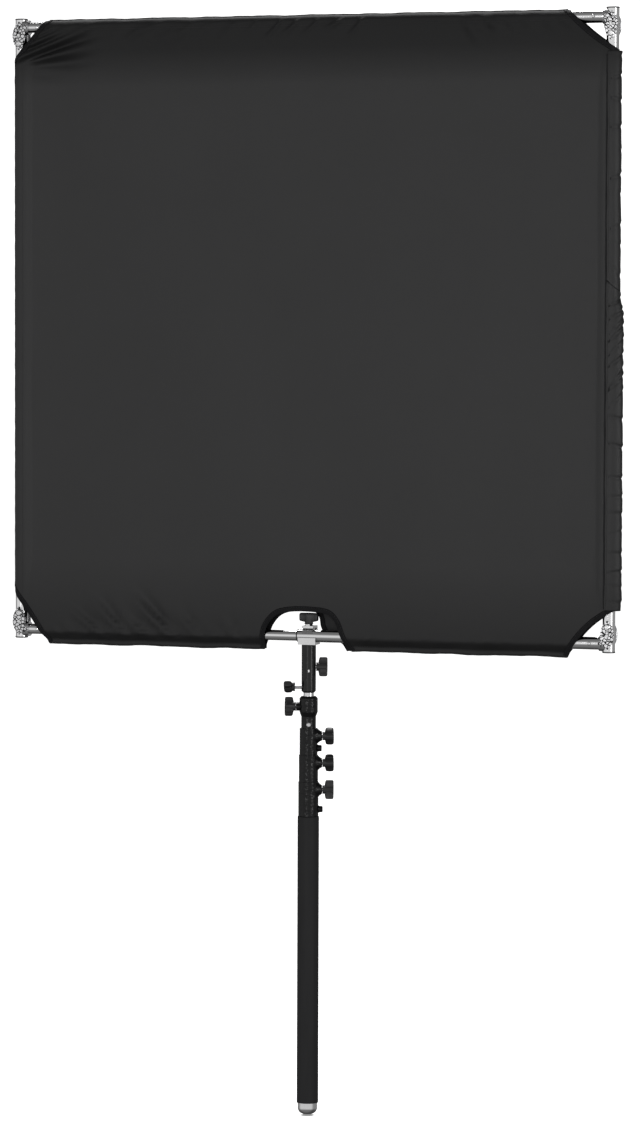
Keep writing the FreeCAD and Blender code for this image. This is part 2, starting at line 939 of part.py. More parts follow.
def make_caps(side):
    """The caps in the open ends of an upright."""
    x = -half_width if side == "left" else half_width
    rim = size("cap_radius")
    height = size("cap_height")
    profile = [
        (Size(0), -size("cap_plug")),
        (frame_bore - fit, -size("cap_plug")),
        (frame_bore - fit, Size(0)),
        (rim, Size(0)),
        (rim, height - 0.8),
        (rim - 0.8, height),
        (Size(0), height),
    ]
    overhang = size("upright_overhang")
    caps = [
        turned(f"{side}_top_cap", profile, (x, 0, top_rail + overhang)),
        turned(
            f"{side}_bottom_cap",
            profile,
            (x, 0, bottom_rail - overhang),
            Rotation(Vector(1, 0, 0), 180),
        ),
    ]
    keep(finished(group(f"{side}_caps", *caps), f"{side}_end_caps"))


def make_button(where, side):
    """A spring clip inside the upright, with the button that locks the corner."""
    tag = f"{where}_{side}"
    radius = size("button_radius")
    front = size("cheek_outer") + 1.6
    pin = cylinder(f"{tag}_pin", radius, front - 7.2, (0, -front, 0), ALONG_Y)
    clip = new_body(f"{tag}_clip")
    bend = new_sketch(clip, "YZ_Plane", Size(-2.5, "(0 - 2.5)"))
    outline(
        bend,
        [
            (-7.4, 3),
            (-7.4, -12.5),
            (-6.4, -13.5),
            (5.0, 2),
            (4.4, 2.4),
            (-6.5, -12),
            (-6.8, -11.5),
            (-6.8, 3),
        ],
    )
    feature(clip, "Pad", bend, Size(5))
    button = fuse(f"{tag}_button", pin, clip)
    x = -half_width if side == "left" else half_width
    turn = Rotation() if where == "bottom" else Rotation(Vector(0, 1, 0), 180)
    place(button, (x, 0, corner_level(where, size("button_offset"))), turn)
    keep(finished(button, f"{tag}_lock_button"))


# ---------------------------------------------------------------------------
# The fabric cover
# ---------------------------------------------------------------------------


def sheet_outline(notch_right_top):
    """A sheet with its corners cut off, and a notch round the clamp."""
    edge = size("sheet_edge")
    left = -half_width - edge
    right = half_width + edge
    top = top_rail + edge
    bottom = bottom_rail - size("hem_drop")
    left_cut = -half_width + size("left_cut_width")
    right_cut = half_width - size("right_cut_width")
    notch_top = bottom_rail + size("notch_rise")
    return [
        (left, bottom_rail + size("left_cut_height")),
        (left, top_rail - size("left_cut_height")),
        (left_cut, top),
        (right_cut, top),
        (right, top_rail - size("right_cut_height")),
        (right, bottom_rail + size("right_cut_height")),
        (right_cut, bottom),
        (size("notch_right_bottom"), bottom),
        (notch_right_top, notch_top),
        (size("notch_left_top"), notch_top),
        (size("notch_left_bottom"), bottom),
        (left_cut, bottom),
    ]


def make_cover():
    thickness = size("sheet_thickness")
    front = size("sheet_front")
    keep(
        plate("cover_front", sheet_outline(size("notch_right_top")), thickness, front),
        plate(
            "cover_back",
            sheet_outline(size("back_notch_right_top")),
            thickness,
            None,
            size("sheet_back"),
        ),
    )
    width = size("binding_width")
    notch_top = bottom_rail + size("notch_rise")
    bottom = bottom_rail - size("hem_drop")
    edge_points = [
        (size("notch_right_bottom"), bottom),
        (size("notch_right_top"), notch_top),
        (size("notch_left_top"), notch_top),
        (size("notch_left_bottom"), bottom),
        (size("notch_left_bottom") - width, bottom),
        (size("notch_left_top") - width, notch_top + width),
        (size("notch_right_top") + width, notch_top + width),
        (size("notch_right_bottom") + width, bottom),
    ]
    keep(plate("notch_binding", edge_points, thickness, front + thickness))


def make_closure():
    """The closing flap along the right edge, in two lengths, over hook-and-loop tape."""
    thickness = size("sheet_thickness")
    tape_front = size("sheet_front") + thickness
    flap_front = tape_front + thickness
    low = bottom_rail + size("right_cut_height")
    high = top_rail - size("right_cut_height")
    split = size("flap_split")
    x = half_width - size("flap_inner")
    half_gap = size("flap_gap") * 0.5
    upper = box(
        "upper_flap",
        (size("flap_inner") + size("flap_upper_reach"), thickness, high - split - half_gap),
        (x, -flap_front, split + half_gap),
    )
    lower = box(
        "lower_flap",
        (size("flap_inner") + size("flap_lower_reach"), thickness, split - low - half_gap),
        (x, -flap_front, low),
    )
    tape = box(
        "closing_tape",
        (size("strip_width"), thickness, high - low),
        (x, -tape_front, low),
    )
    keep(finished(upper, "closure_flap_upper"))
    keep(finished(lower, "closure_flap_lower"))
    keep(finished(tape, "hook_and_loop_tape"))


def build_all():
    make_grip()
    make_foot()
    make_tubes()
    for key in "abc":
        make_collar(key, ear=key != "b")
    make_head()
    make_head_screw()
    make_knobs()
    make_spigot("lower_spigot", size("spigot_bottom"), size("spigot_length"))
    upper_bottom = size("spigot_bottom") + size("spigot_length") + 5
    make_spigot("upper_spigot", upper_bottom, size("jaw_bottom") - upper_bottom)
    make_receiver()
    make_jaw()
    make_saddle()
    make_nut()
    for where in ("bottom", "top"):
        make_rails(where)
    for side in ("left", "right"):
        make_upright(side)
        make_bolts(side)
        make_rivets(side)
        make_caps(side)
        for where in ("bottom", "top"):
            make_bracket(where, side)
            make_button(where, side)
    make_cover()
    make_closure()


def check_document():
    """Stops if an object failed, a pocket cut nothing, or a sub-part has no good shape."""
    for thing in doc.Objects:
        if "Invalid" in thing.State or "Error" in thing.State:
            raise RuntimeError(f"{thing.Label} failed: {thing.State}")
        if thing.TypeId == "PartDesign::Pocket":
            before = thing.BaseFeature.Shape.Volume
            if thing.Shape.Volume > before - 1:
                raise RuntimeError(f"{thing.Name} cut nothing")
    for piece in subparts:
        if piece.Shape.isNull() or not piece.Shape.isValid():
            raise RuntimeError(f"{piece.Label} has no valid shape")


def write_parts():
    os.makedirs("parts", exist_ok=True)
    for piece in subparts:
        piece.Shape.exportStep(f"parts/{piece.Label}.step")


build_all()
doc.recompute()
check_document()
write_parts()
print(f"{len(subparts)} sub-parts written")
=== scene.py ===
"""Looks for a black fabric flag on a telescopic pole. Metres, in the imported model's frame."""

import json
import math
import random

import bmesh
import bpy
import numpy as np
from mathutils import Matrix, Vector


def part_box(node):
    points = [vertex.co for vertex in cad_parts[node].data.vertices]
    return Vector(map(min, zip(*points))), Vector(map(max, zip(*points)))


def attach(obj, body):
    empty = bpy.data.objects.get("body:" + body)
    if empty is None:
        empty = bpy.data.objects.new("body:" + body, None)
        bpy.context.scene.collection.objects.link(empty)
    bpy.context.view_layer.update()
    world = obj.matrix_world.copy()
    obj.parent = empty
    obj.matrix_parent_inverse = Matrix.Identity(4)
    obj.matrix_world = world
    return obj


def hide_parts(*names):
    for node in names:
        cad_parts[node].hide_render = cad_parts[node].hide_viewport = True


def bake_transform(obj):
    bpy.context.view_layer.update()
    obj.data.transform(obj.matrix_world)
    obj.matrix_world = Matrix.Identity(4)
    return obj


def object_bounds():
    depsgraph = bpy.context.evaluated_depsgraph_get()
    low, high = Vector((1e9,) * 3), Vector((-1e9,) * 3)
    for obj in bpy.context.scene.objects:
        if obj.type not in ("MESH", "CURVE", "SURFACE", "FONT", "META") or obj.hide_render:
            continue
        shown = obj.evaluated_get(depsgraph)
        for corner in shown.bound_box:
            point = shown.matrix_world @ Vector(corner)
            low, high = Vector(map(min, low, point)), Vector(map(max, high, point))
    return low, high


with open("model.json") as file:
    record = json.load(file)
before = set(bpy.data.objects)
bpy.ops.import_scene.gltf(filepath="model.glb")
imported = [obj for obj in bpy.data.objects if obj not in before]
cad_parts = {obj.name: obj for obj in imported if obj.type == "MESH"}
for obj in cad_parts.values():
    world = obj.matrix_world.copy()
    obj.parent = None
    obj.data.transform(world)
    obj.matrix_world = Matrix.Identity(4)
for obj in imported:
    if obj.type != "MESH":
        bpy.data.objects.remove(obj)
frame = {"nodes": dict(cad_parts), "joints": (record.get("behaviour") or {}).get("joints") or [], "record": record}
CAD_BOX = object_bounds()
NODES = frame["nodes"]
JOINTS = {joint["name"]: joint for joint in frame["joints"]}
MM = 0.001
FRONT = -1
BACK = 1


def middle(node, axis):
    low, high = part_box(node)
    return (low[axis] + high[axis]) / 2


# The axes of the frame's four tubes.
LEFT = middle("left_upright", 0)
RIGHT = middle("right_upright", 0)
BOTTOM = middle("bottom_rail_right", 2)
TOP = middle("top_rail_right", 2)

# The cloth lies this far from a tube's axis, and meets its other half at the seams.
SKIN = 10.1 * MM
SEAM_LEFT = LEFT - SKIN
SEAM_RIGHT = RIGHT + SKIN
SEAM_TOP = TOP + SKIN
HEM_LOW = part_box("cover_front")[0].z
HEM_BAND = 6 * MM
HEM_GAP = 0.9 * MM
QUARTER = SKIN * math.pi / 2


# ---- Materials


def add_node(tree, kind, inputs=None, **settings):
    """A node with its settings and its sockets' values. A value that is a socket is linked."""
    made = tree.nodes.new(kind)
    for key, value in settings.items():
        setattr(made, key, value)
    for key, value in (inputs or {}).items():
        if isinstance(value, bpy.types.NodeSocket):
            tree.links.new(value, made.inputs[key])
        else:
            made.inputs[key].default_value = value
    return made


def grey(level):
    """A dark grey, very slightly blue."""
    return level, level, level + 0.001


class Paint:
    """A Principled material, with short calls for the nodes that feed it."""

    def __init__(self, name, colour, roughness, **sockets):
        self.material = bpy.data.materials.new(name)
        self.material.use_nodes = True
        self.tree = self.material.node_tree
        self.shader = self.tree.nodes["Principled BSDF"]
        self.shader.inputs["Base Color"].default_value = (*colour, 1)
        self.shader.inputs["Roughness"].default_value = roughness
        for socket, value in sockets.items():
            self.shader.inputs[socket.replace("_", " ")].default_value = value
        self.height = None

    def node(self, kind, inputs=None, **settings):
        return add_node(self.tree, kind, inputs, **settings)

    def place(self, scale=(1, 1, 1), source="Object"):
        """Coordinates of the surface, stretched by scale."""
        where = self.node("ShaderNodeTexCoord").outputs[source]
        return self.node("ShaderNodeMapping", {"Vector": where, "Scale": scale}).outputs["Vector"]

    def noise(self, scale, detail=3.0, stretch=(1, 1, 1), roughness=0.5):
        found = {"Vector": self.place(stretch), "Scale": scale, "Detail": detail}
        found["Roughness"] = roughness
        return self.node("ShaderNodeTexNoise", found).outputs["Fac"]

    def waves(self, pitch, direction, source="Object", distortion=0.0):
        """Ridges that repeat at the given pitch along X, Y or Z."""
        found = {"Vector": self.place(source=source), "Scale": 1 / (pitch * WAVE_UNIT)}
        found.update(Distortion=distortion, Detail=1.0)
        return self.node("ShaderNodeTexWave", found, bands_direction=direction).outputs["Fac"]

    def remap(self, value, low, high, start=0.3, end=0.7):
        """Low where the value is at start, high where it is at end, and even steps between."""
        found = {"Value": value, "From Min": start, "From Max": end, "To Min": low, "To Max": high}
        return self.node("ShaderNodeMapRange", found).outputs["Result"]

    def sum(self, first, second, share=1.0):
        scaled = self.node("ShaderNodeMath", {0: second, 1: share}, operation="MULTIPLY")
        return self.node("ShaderNodeMath", {0: first, 1: scaled.outputs[0]}).outputs[0]

    def product(self, first, second):
        return self.node("ShaderNodeMath", {0: first, 1: second}, operation="MULTIPLY").outputs[0]

    def colour(self, factor, first, second):
        mixed = self.node("ShaderNodeMix", {"Factor": factor}, data_type="RGBA", clamp_factor=True)
        mixed.inputs[6].default_value = (*first, 1)
        mixed.inputs[7].default_value = (*second, 1)
        self.tree.links.new(mixed.outputs[2], self.shader.inputs["Base Color"])

    def roughness(self, value, low, high):
        self.tree.links.new(self.remap(value, low, high), self.shader.inputs["Roughness"])

    def bump(self, value, depth):
        """Relief of the given depth in metres, on top of what the material has already."""
        found = {"Height": value, "Distance": depth, "Strength": 1.0}
        if self.height is not None:
            found["Normal"] = self.height
        self.height = self.node("ShaderNodeBump", found).outputs["Normal"]
        self.tree.links.new(self.height, self.shader.inputs["Normal"])


# A wave texture of scale 1 has this many crests in a metre.
WAVE_UNIT = 20 / (2 * math.pi)


def mottled(name, base, dull, tone, gloss, bumps=(), **sockets):
    """A Paint whose colour and roughness each follow a noise, with relief from more noises.

    tone is (noise, colour, colour), gloss (noise, low, high) and each bump (noise, depth in mm).
    """
    paint = Paint(name, base, dull, **sockets)
    if tone:
        paint.colour(paint.noise(*tone[0]), *tone[1:])
    paint.roughness(paint.noise(*gloss[0]), *gloss[1:])
    for noise, depth in bumps:
        paint.bump(paint.noise(*noise), depth * MM)
    return paint


def chrome(name, tint, dull):
    """Plated steel: mirror bright, with fine draw lines, small dents in the gloss and faint haze."""
    full = (tint, tint, tint * 1.01)
    tone = ((18, 3), (tint * 0.93,) * 3, full)
    gloss = ((55, 4), dull * 0.6, dull * 1.7)
    bumps = [((900, 2, (1, 1, 0.06)), 0.004), ((140, 3), 0.012)]
    return mottled(name, full, dull, tone, gloss, bumps, Metallic=1.0).material


def pressed_plate():
    """Plated brackets whose outer cheeks carry a pressed pattern, its grooves coloured black as painted shade."""
    paint = Paint("pressed plate", (0.70, 0.70, 0.71), 0.12, Metallic=1.0)
    spot = paint.place()
    across = paint.node("ShaderNodeSeparateXYZ", {0: spot}).outputs["Y"]
    depth = paint.node("ShaderNodeMath", {0: across}, operation="ABSOLUTE").outputs[0]
    cheek = paint.remap(depth, 0.0, 1.0, 10.6 * MM, 11.4 * MM)
    net = {"Vector": spot, "Scale": 210.0}
    cells = paint.node("ShaderNodeTexVoronoi", net, feature="DISTANCE_TO_EDGE")
    groove = paint.remap(cells.outputs["Distance"], 1.0, 0.0, 0.07, 0.13)
    # Painted shade: the pattern's grooves on the outer cheeks are coloured black.
    painted_groove_shade = paint.product(cheek, groove)
    paint.colour(painted_groove_shade, (0.70, 0.70, 0.71), (0.012, 0.012, 0.012))
    paint.roughness(paint.noise(60, 4), 0.08, 0.20)
    paint.bump(painted_groove_shade, -0.25 * MM)
    paint.bump(paint.noise(140, 3), 0.02 * MM)
    return paint.material


def enamel():
    """Stove enamel on cast and drawn parts: glossy, with orange peel and worn, greyer edges."""
    coat = {"Coat_Weight": 0.12, "Coat_Roughness": 0.12}
    paint = Paint("black enamel", grey(0.012), 0.24, Specular_IOR_Level=0.25, **coat)
    wear = paint.node("ShaderNodeNewGeometry").outputs["Pointiness"]
    edge = paint.remap(wear, 0.0, 0.8, 0.52, 0.60)
    worn = paint.product(edge, paint.noise(160, 4))
    paint.colour(worn, grey(0.005), (0.026, 0.026, 0.026))
    paint.roughness(paint.noise(90, 4), 0.14, 0.30)
    paint.bump(paint.noise(420, 3), 0.06 * MM)
    paint.bump(paint.noise(110, 2), 0.22 * MM)
    return paint.material


def wrinkle_enamel():
    """The cast collars' thicker enamel: black, glossy and coarsely wrinkled."""
    tone = ((140, 4), grey(0.003), (0.011, 0.011, 0.011))
    bumps = [((230, 2), 0.8), ((900, 2), 0.04)]
    gloss = ((90, 4), 0.10, 0.24)
    shine = {"Specular_IOR_Level": 0.24}
    return mottled("wrinkle enamel", grey(0.006), 0.20, tone, gloss, bumps, **shine).material


def nylon():
    """Moulded nylon: spark-eroded grain, and lighter where hands have rubbed it."""
    tone = ((70, 4), grey(0.014), grey(0.032))
    bumps = [((1800, 3), 0.05), ((240, 2), 0.04)]
    return mottled("black nylon", grey(0.020), 0.46, tone, ((120, 3), 0.36, 0.56), bumps).material


def rubber():
    """The smooth, matte sleeve: an even dark grey with a few scuffs along its length."""
    scuffs = (60, 5, (1, 1, 0.12), 0.65)
    tone = (scuffs, grey(0.010), grey(0.016))
    bumps = [((2200, 2), 0.03), ((500, 2, (1, 1, 0.05)), 0.02)]
    gloss = (scuffs, 0.54, 0.70)
    shine = {"Specular_IOR_Level": 0.35}
    return mottled("matte sleeve", grey(0.022), 0.62, tone, gloss, bumps, **shine).material


def turned_steel():
    """Bright turned steel, with the tool's rings and a slightly dull film."""
    bumps = [((1500, 2), 0.01), ((500, 1, (1, 1, 6)), 0.012)]
    gloss = ((300, 3), 0.18, 0.38)
    return mottled("turned steel", (0.62, 0.62, 0.63), 0.26, None, gloss, bumps, Metallic=1.0).material


def weave(paint, pitch, depth):
    """Warp and weft threads across a sheet in the X-Z plane, slightly uneven."""
    warp = paint.waves(pitch, "X", distortion=0.4)
    weft = paint.waves(pitch, "Z", distortion=0.4)
    both = paint.node("ShaderNodeMath", {0: warp, 1: weft}, operation="MAXIMUM").outputs[0]
    paint.bump(both, depth)
    paint.bump(paint.noise(150, 3), 0.05 * MM)


def cloth():
    """Black proofed nylon: a fine plain weave with a satin face. It is duller near the top and the hem, and darker
    there as painted shade.
    """
    sheen = {"Sheen_Weight": 0.06, "Sheen_Roughness": 0.35}
    paint = Paint("black nylon cloth", grey(0.009), 0.42, Specular_IOR_Level=0.50, **sheen)
    patches = paint.noise(5, 5, roughness=0.6)
    slubs = paint.noise(420, 2, (1, 1, 0.05))
    mixed = paint.sum(patches, slubs, 0.25)
    height = paint.node("ShaderNodeSeparateXYZ", {0: paint.place()}).outputs["Z"]
    # Painted shade: the colour darkens towards the top rail and towards the hem. The same mask makes the cloth
    # rougher there.
    top_shade_ramp = paint.remap(height, 1, 0, TOP - 135 * MM, TOP + 4 * MM)
    hem_shade_ramp = paint.remap(height, 0.45, 1, BOTTOM - 12 * MM, BOTTOM + 260 * MM)
    shade_and_gloss = paint.product(top_shade_ramp, hem_shade_ramp)
    # The painted shade, times random patches of tone, sets the colour.
    painted_shade_and_patches = paint.product(shade_and_gloss, paint.remap(mixed, 0.7, 1, 0.45, 0.85))
    paint.colour(painted_shade_and_patches, (0.0030, 0.0030, 0.0033), (0.0125, 0.0125, 0.0131))
    paint.roughness(shade_and_gloss, 0.70, 0.455)
    weave(paint, 0.42 * MM, 0.035 * MM)
    return paint.material


def lining():
    """The back panel: the same cloth without its satin face, so it is duller."""
    patches = (6, 5, (1, 1, 1), 0.6)
    tone = (patches, grey(0.012), grey(0.019))
    gloss = (patches, 0.52, 0.66)
    paint = mottled("black back cloth", grey(0.010), 0.72, tone, gloss, Specular_IOR_Level=0.42)
    weave(paint, 0.42 * MM, 0.05 * MM)
    return paint.material


def grosgrain():
    """Ribbed binding tape. Its ribs run across it, so they follow the tape's own length."""
    sheen = {"Specular_IOR_Level": 0.22, "Sheen_Weight": 0.05}
    tone = ((120, 3), grey(0.004), grey(0.009))
    paint = mottled("grosgrain tape", grey(0.005), 0.66, tone, ((60, 2), 0.58, 0.76), **sheen)
    paint.bump(paint.waves(0.9 * MM, "X", "UV"), 0.16 * MM)
    paint.bump(paint.noise(900, 2), 0.04 * MM)
    return paint.material


def hooks():
    """Hook-and-loop tape: a dense, rough pile."""
    paint = Paint("hook and loop", grey(0.012), 0.85)
    pile = paint.node("ShaderNodeTexVoronoi", {"Vector": paint.place(), "Scale": 1100.0})
    paint.colour(pile.outputs["Distance"], grey(0.006), grey(0.022))
    paint.roughness(paint.noise(80, 2), 0.78, 0.92)
    paint.bump(pile.outputs["Distance"], 0.5 * MM)
    return paint.material


def thread():
    """Polyester sewing thread, twisted, a little brighter than the cloth under it."""
    tone = ((700, 2), grey(0.016), grey(0.034))
    gloss = ((400, 2), 0.34, 0.52)
    return mottled("sewing thread", grey(0.022), 0.42, tone, gloss, [((2600, 2), 0.05)]).material


PLATE = pressed_plate()
CAST_ENAMEL = wrinkle_enamel()
NYLON = nylon()
CLOTH = cloth()
LINING = lining()
GROSGRAIN = grosgrain()
HOOKS = hooks()
THREAD = thread()

SLOT_MATERIALS = {
    "chrome_tube": chrome("chrome tube", 0.80, 0.07),
    "chrome_fitting": chrome("chrome fitting", 0.72, 0.12),
    "black_enamel": enamel(),
    "black_nylon": NYLON,
    "grip_rubber": rubber(),
    "steel_screw": turned_steel(),
    "black_fabric": CLOTH,
    "binding_tape": GROSGRAIN,
    "hook_loop": HOOKS,
}


def paint_cad_nodes():
    for row in frame["record"]["subparts"]:
        node = NODES[row["node"]]
        node.data.materials.clear()
        if row["node"].endswith("_bracket"):
            material = PLATE
        elif row["node"].startswith("clamp_collar") or row["node"] == "pole_head":
            material = CAST_ENAMEL
        else:
            material = SLOT_MATERIALS[row["material_slot"]]
        node.data.materials.append(material)


# ---- Meshes


def linked(name, data):
    made = bpy.data.objects.new(name, data)
    bpy.context.scene.collection.objects.link(made)
    return made


def new_object(name, mesh, material):
    mesh.materials.clear()
    mesh.materials.append(material)
    made = linked(name, mesh)
    return made


def grid_mesh(name, rows, closed_across=False, closed_along=False, lengths=None, capped=False):
    """A mesh through rows of points, an array (along, across, 3). UVs are in metres along it."""
    along, across = rows.shape[:2]
    faces = []
    for i in range(along if closed_along else along - 1):
        here, after = i * across, (i + 1) % along * across
        for j in range(across if closed_across else across - 1):
            beside = (j + 1) % across
            faces.append((here + j, here + beside, after + beside, after + j))
    if capped:
        faces.append(tuple(reversed(range(across))))
        faces.append(tuple((along - 1) * across + j for j in range(across)))
    mesh = bpy.data.meshes.new(name)
    mesh.from_pydata(rows.reshape(-1, 3).tolist(), [], faces)
    mesh.update()
    if lengths is not None:
        add_strip_uv(mesh, across, lengths, closed_along)
    mesh.shade_smooth()
    return mesh


def add_strip_uv(mesh, across, lengths, closed_along):
    """UVs for a strip: u is the distance along it, in metres, and v the place across it."""
    layer = mesh.uv_layers.new(name="UVMap")
    total = lengths[-1] + (lengths[-1] - lengths[-2])
    for polygon in mesh.polygons:
        rows_here = [mesh.loops[k].vertex_index // across for k in polygon.loop_indices]
        wraps = closed_along and max(rows_here) - min(rows_here) > 1
        for k, row in zip(polygon.loop_indices, rows_here):
            u = total if wraps and row == 0 else lengths[row]
            layer.data[k].uv = (u, (mesh.loops[k].vertex_index % across) * MM)


def unit(vectors):
    return vectors / np.maximum(np.linalg.norm(vectors, axis=-1, keepdims=True), 1e-12)


def running_length(points):
    return np.concatenate([[0], np.cumsum(np.linalg.norm(np.diff(points, axis=0), axis=1))])


def resampled(points, step):
    """The same path with points about one step apart."""
    lengths = running_length(points)
    count = max(2, round(lengths[-1] / step) + 1)
    wanted = np.linspace(0, lengths[-1], count)
    return np.stack([np.interp(wanted, lengths, column) for column in points.T], 1)


def smooth_curve(points):
    """A Catmull-Rom curve through the points."""
    points = np.array(points)
    knots = [2 * points[0] - points[1], *points, 2 * points[-1] - points[-2]]
    parts = []
    for a, b, c, d in zip(knots, knots[1:], knots[2:], knots[3:]):
        t = np.linspace(0, 1, 10, endpoint=False)[:, None]
        bend = t**2 * (a - 2.5 * b + 2 * c - 0.5 * d) + t**3 * 0.5 * (3 * b - 3 * c + d - a)
        parts.append(b + 0.5 * t * (c - a) + bend)
    return np.concatenate([*parts, [points[-1]]])


def arc(start, end, bulge):
    """Points on a circle from start to end that stands bulge off their chord, to its left."""
    chord = end - start
    half = np.linalg.norm(chord) / 2
    along = chord / (2 * half)
    left = np.array([-along[1], along[0]])
    radius = (half**2 + bulge**2) / (2 * bulge)
    centre = (start + end) / 2 - left * (radius - bulge)
    spread = math.asin(min(1, half / radius))
    angles = np.linspace(-spread, spread, 24)[:, None]
    return centre + radius * (np.cos(angles) * left + np.sin(angles) * along)


# ---- The cover's shape. A panel's own coordinates are the distance s across the cloth from the left
# seam, and the distance t up it from the hem, both along the surface.


def section(points):
    """A cross-section's points (depth, place), ready to look up by the distance along them."""
    points = np.array(points)
    return running_length(points), points[:, 0], points[:, 1]


def quarter_turn(centre, start, end):
    """Part of the way round a tube: start and end are angles from the front, in degrees."""
    angles = np.radians(np.linspace(start, end, 18))
    return [(SKIN * math.cos(a), centre + SKIN * math.sin(a)) for a in angles]


def rail_section():
    """Up the panel: the hem, in to the rail, round its front, up the flat, over the top rail."""
    hem_top = HEM_LOW + HEM_BAND
    drop = BOTTOM - hem_top
    reach = math.hypot(drop, HEM_GAP)
    leaves = math.degrees(math.atan2(drop, HEM_GAP) - math.acos(SKIN / reach))
    hem = [(HEM_GAP, HEM_LOW), (HEM_GAP, hem_top)]
    return section([*hem, *quarter_turn(BOTTOM, -leaves, 0), *quarter_turn(TOP, 0, 90)])


# Across the panel: round the left upright, over the flat, round the right upright.
ACROSS = section([*quarter_turn(LEFT, -90, 0), *quarter_turn(RIGHT, 0, 90)])
UP = rail_section()
WIDTH = ACROSS[0][-1]
HEIGHT = UP[0][-1]


def look_up(table, distance):
    lengths, depths, places = table
    return np.interp(distance, lengths, depths), np.interp(distance, lengths, places)


def flat_across(x):
    """The distance across the cloth at which the front is at x."""
    return np.interp(x, ACROSS[2], ACROSS[0])


def flat(points):
    """Front-view points (x, z) as distances (s, t) on the cloth."""
    points = np.array(points, float)
    return np.stack([flat_across(points[:, 0]), np.interp(points[:, 1], UP[2], UP[0])], 1)


def ease(value, start, end):
    share = np.clip((value - start) / (end - start), 0, 1)
    return share * share * (3 - 2 * share)


class Fold:
    """A crease in the cloth, from one place to another, that fades along its length."""

    def __init__(self, start, end, width, height, trough=0.7):
        self.start = np.array(start)
        self.run = np.array(end) - self.start
        self.length = np.linalg.norm(self.run)
        self.run = self.run / self.length
        self.width = width
        self.height = height
        self.trough = trough

    def relief(self, x, z):
        dx, dz = x - self.start[0], z - self.start[1]
        along = (dx * self.run[0] + dz * self.run[1]) / self.length
        width = self.width * (0.7 + 0.9 * np.clip(along, 0, 1))
        across = (dz * self.run[0] - dx * self.run[1]) / width
        fade = ease(along, -0.12, 0.12) * (1 - ease(along, 0.35, 1.1))
        ridge = np.exp(-(across**2))
        valley = np.exp(-((across + 1.35) ** 2))
        return self.height * fade * (ridge - self.trough * valley)


def folds_at(x, z, rows):
    """Folds from rows of (start, end, width, height, trough) in mm, with ends counted from (x, z)."""
    made = []
    for start, end, width, height, trough in rows:
        ends = [(x + across * MM, z + up * MM) for across, up in (start, end)]
        made.append(Fold(*ends, width * MM, height * MM, trough))
    return made


def edge_puckers(seed, first, last, step, edge, slant, reach, height, width):
    """Small creases that run in from an edge, from first to last along it. All sizes are in mm."""
    rng = random.Random(seed)
    folds = []
    for place in np.arange(first * MM, last * MM, step * MM):
        at = place + rng.uniform(-6, 6) * MM
        length = reach * MM * rng.uniform(0.55, 1.25)
        lean = slant * MM * rng.uniform(0.7, 1.3)
        size = height * MM * rng.uniform(0.45, 1.2)
        x, z, dx, dz = {
            "top": (at, SEAM_TOP - 7 * MM, -lean, -length),
            "hem": (at, HEM_LOW + 8 * MM, -lean, length),
            "left": (SEAM_LEFT + 5 * MM, at, length, lean),
            "right": (SEAM_RIGHT - 16 * MM, at, -length, lean),
        }[edge]
        folds.append(Fold((x, z), (x + dx, z + dz), width * MM * rng.uniform(0.8, 1.3), size))
    return folds


# The corners' cuts: the side and level of the corner, the cut's width and height, and how far it
# bows into the cloth, in mm.
CUTS = {
    "top_left": (-1, 1, 57, 65, 1.2),
    "top_right": (1, 1, 79, 62, 5),
    "bottom_left": (-1, -1, 57, 86, 2.5),
    "bottom_right": (1, -1, 74, 73, 11),
}

# A fan of folds at the front's top left corner, from the foot of the corner's cut.
FAN = [
    ((9, 6), (150, 62), 6.0, 9.0, 1.0),
    ((5, 0), (150, 26), 8.4, 7.6, 0.9),
    ((24, 25), (112, 62), 4.6, 5.6, 0.9),
    ((42, 42), (84, 61), 3.4, 3.2, 0.7),
    ((6, -10), (98, -4), 6.4, 3.2, 0.7),
    ((6, -14), (48, -22), 5.0, 0.9, 0.7),
]

# Folds that rise from the front's hem.
HEM_FOLDS = [
    ((-214, 10), (-290, 84), 6.2, 5.2, 1.0),
    ((-292, 10), (-352, 76), 5.4, 4.6, 1.0),
    ((-328, 8), (-388, 60), 4.6, 3.8, 0.9),
    ((-172, 10), (-214, 60), 4.8, 3.6, 0.9),
    ((-112, 10), (-140, 54), 4.4, 3.0, 0.7),
    ((-256, 8), (-302, 52), 4.2, 3.4, 0.7),
    ((220, 6), (236, 24), 4.0, 1.2, 0.7),
    ((268, 6), (288, 26), 4.4, 1.4, 0.7),
]

# Puckers: a seed, the first and last place and the step, the edge, the slant, reach, height, width.
FRONT_PUCKERS = [
    (3, -262, -170, 27, "top", 36, 34, 3.6, 4.2),
    (4, -150, 90, 34, "top", 24, 26, 2.8, 3.8),
    (5, 240, 390, 30, "top", -26, 44, 4.0, 5.0),
    (6, -360, -290, 30, "top", 14, 20, 1.8, 4.0),
    (7, 1060, 1560, 27, "left", -6, 18, 2.4, 3.2),
    (8, 800, 1020, 45, "left", 4, 14, 1.4, 3.0),
    (9, 800, 1550, 38, "right", 5, 16, 1.8, 3.4),
    (10, -400, -90, 15, "hem", 17, 26, 2.3, 3.0),
    (11, 90, 390, 31, "hem", -10, 22, 1.6, 3.2),
]
BACK_PUCKERS = [
    (21, -400, 390, 31, "top", 14, 20, 1.5, 4.0),
    (22, -400, -90, 26, "hem", -16, 26, 1.8, 4.0),
    (23, 60, 390, 29, "hem", 14, 22, 1.4, 4.0),
    (24, 800, 1560, 30, "left", 5, 16, 1.3, 3.4),
    (25, 800, 1560, 33, "right", -7, 16, 1.2, 3.4),
]


def puckers(rows):
    return [fold for row in rows for fold in edge_puckers(*row)]


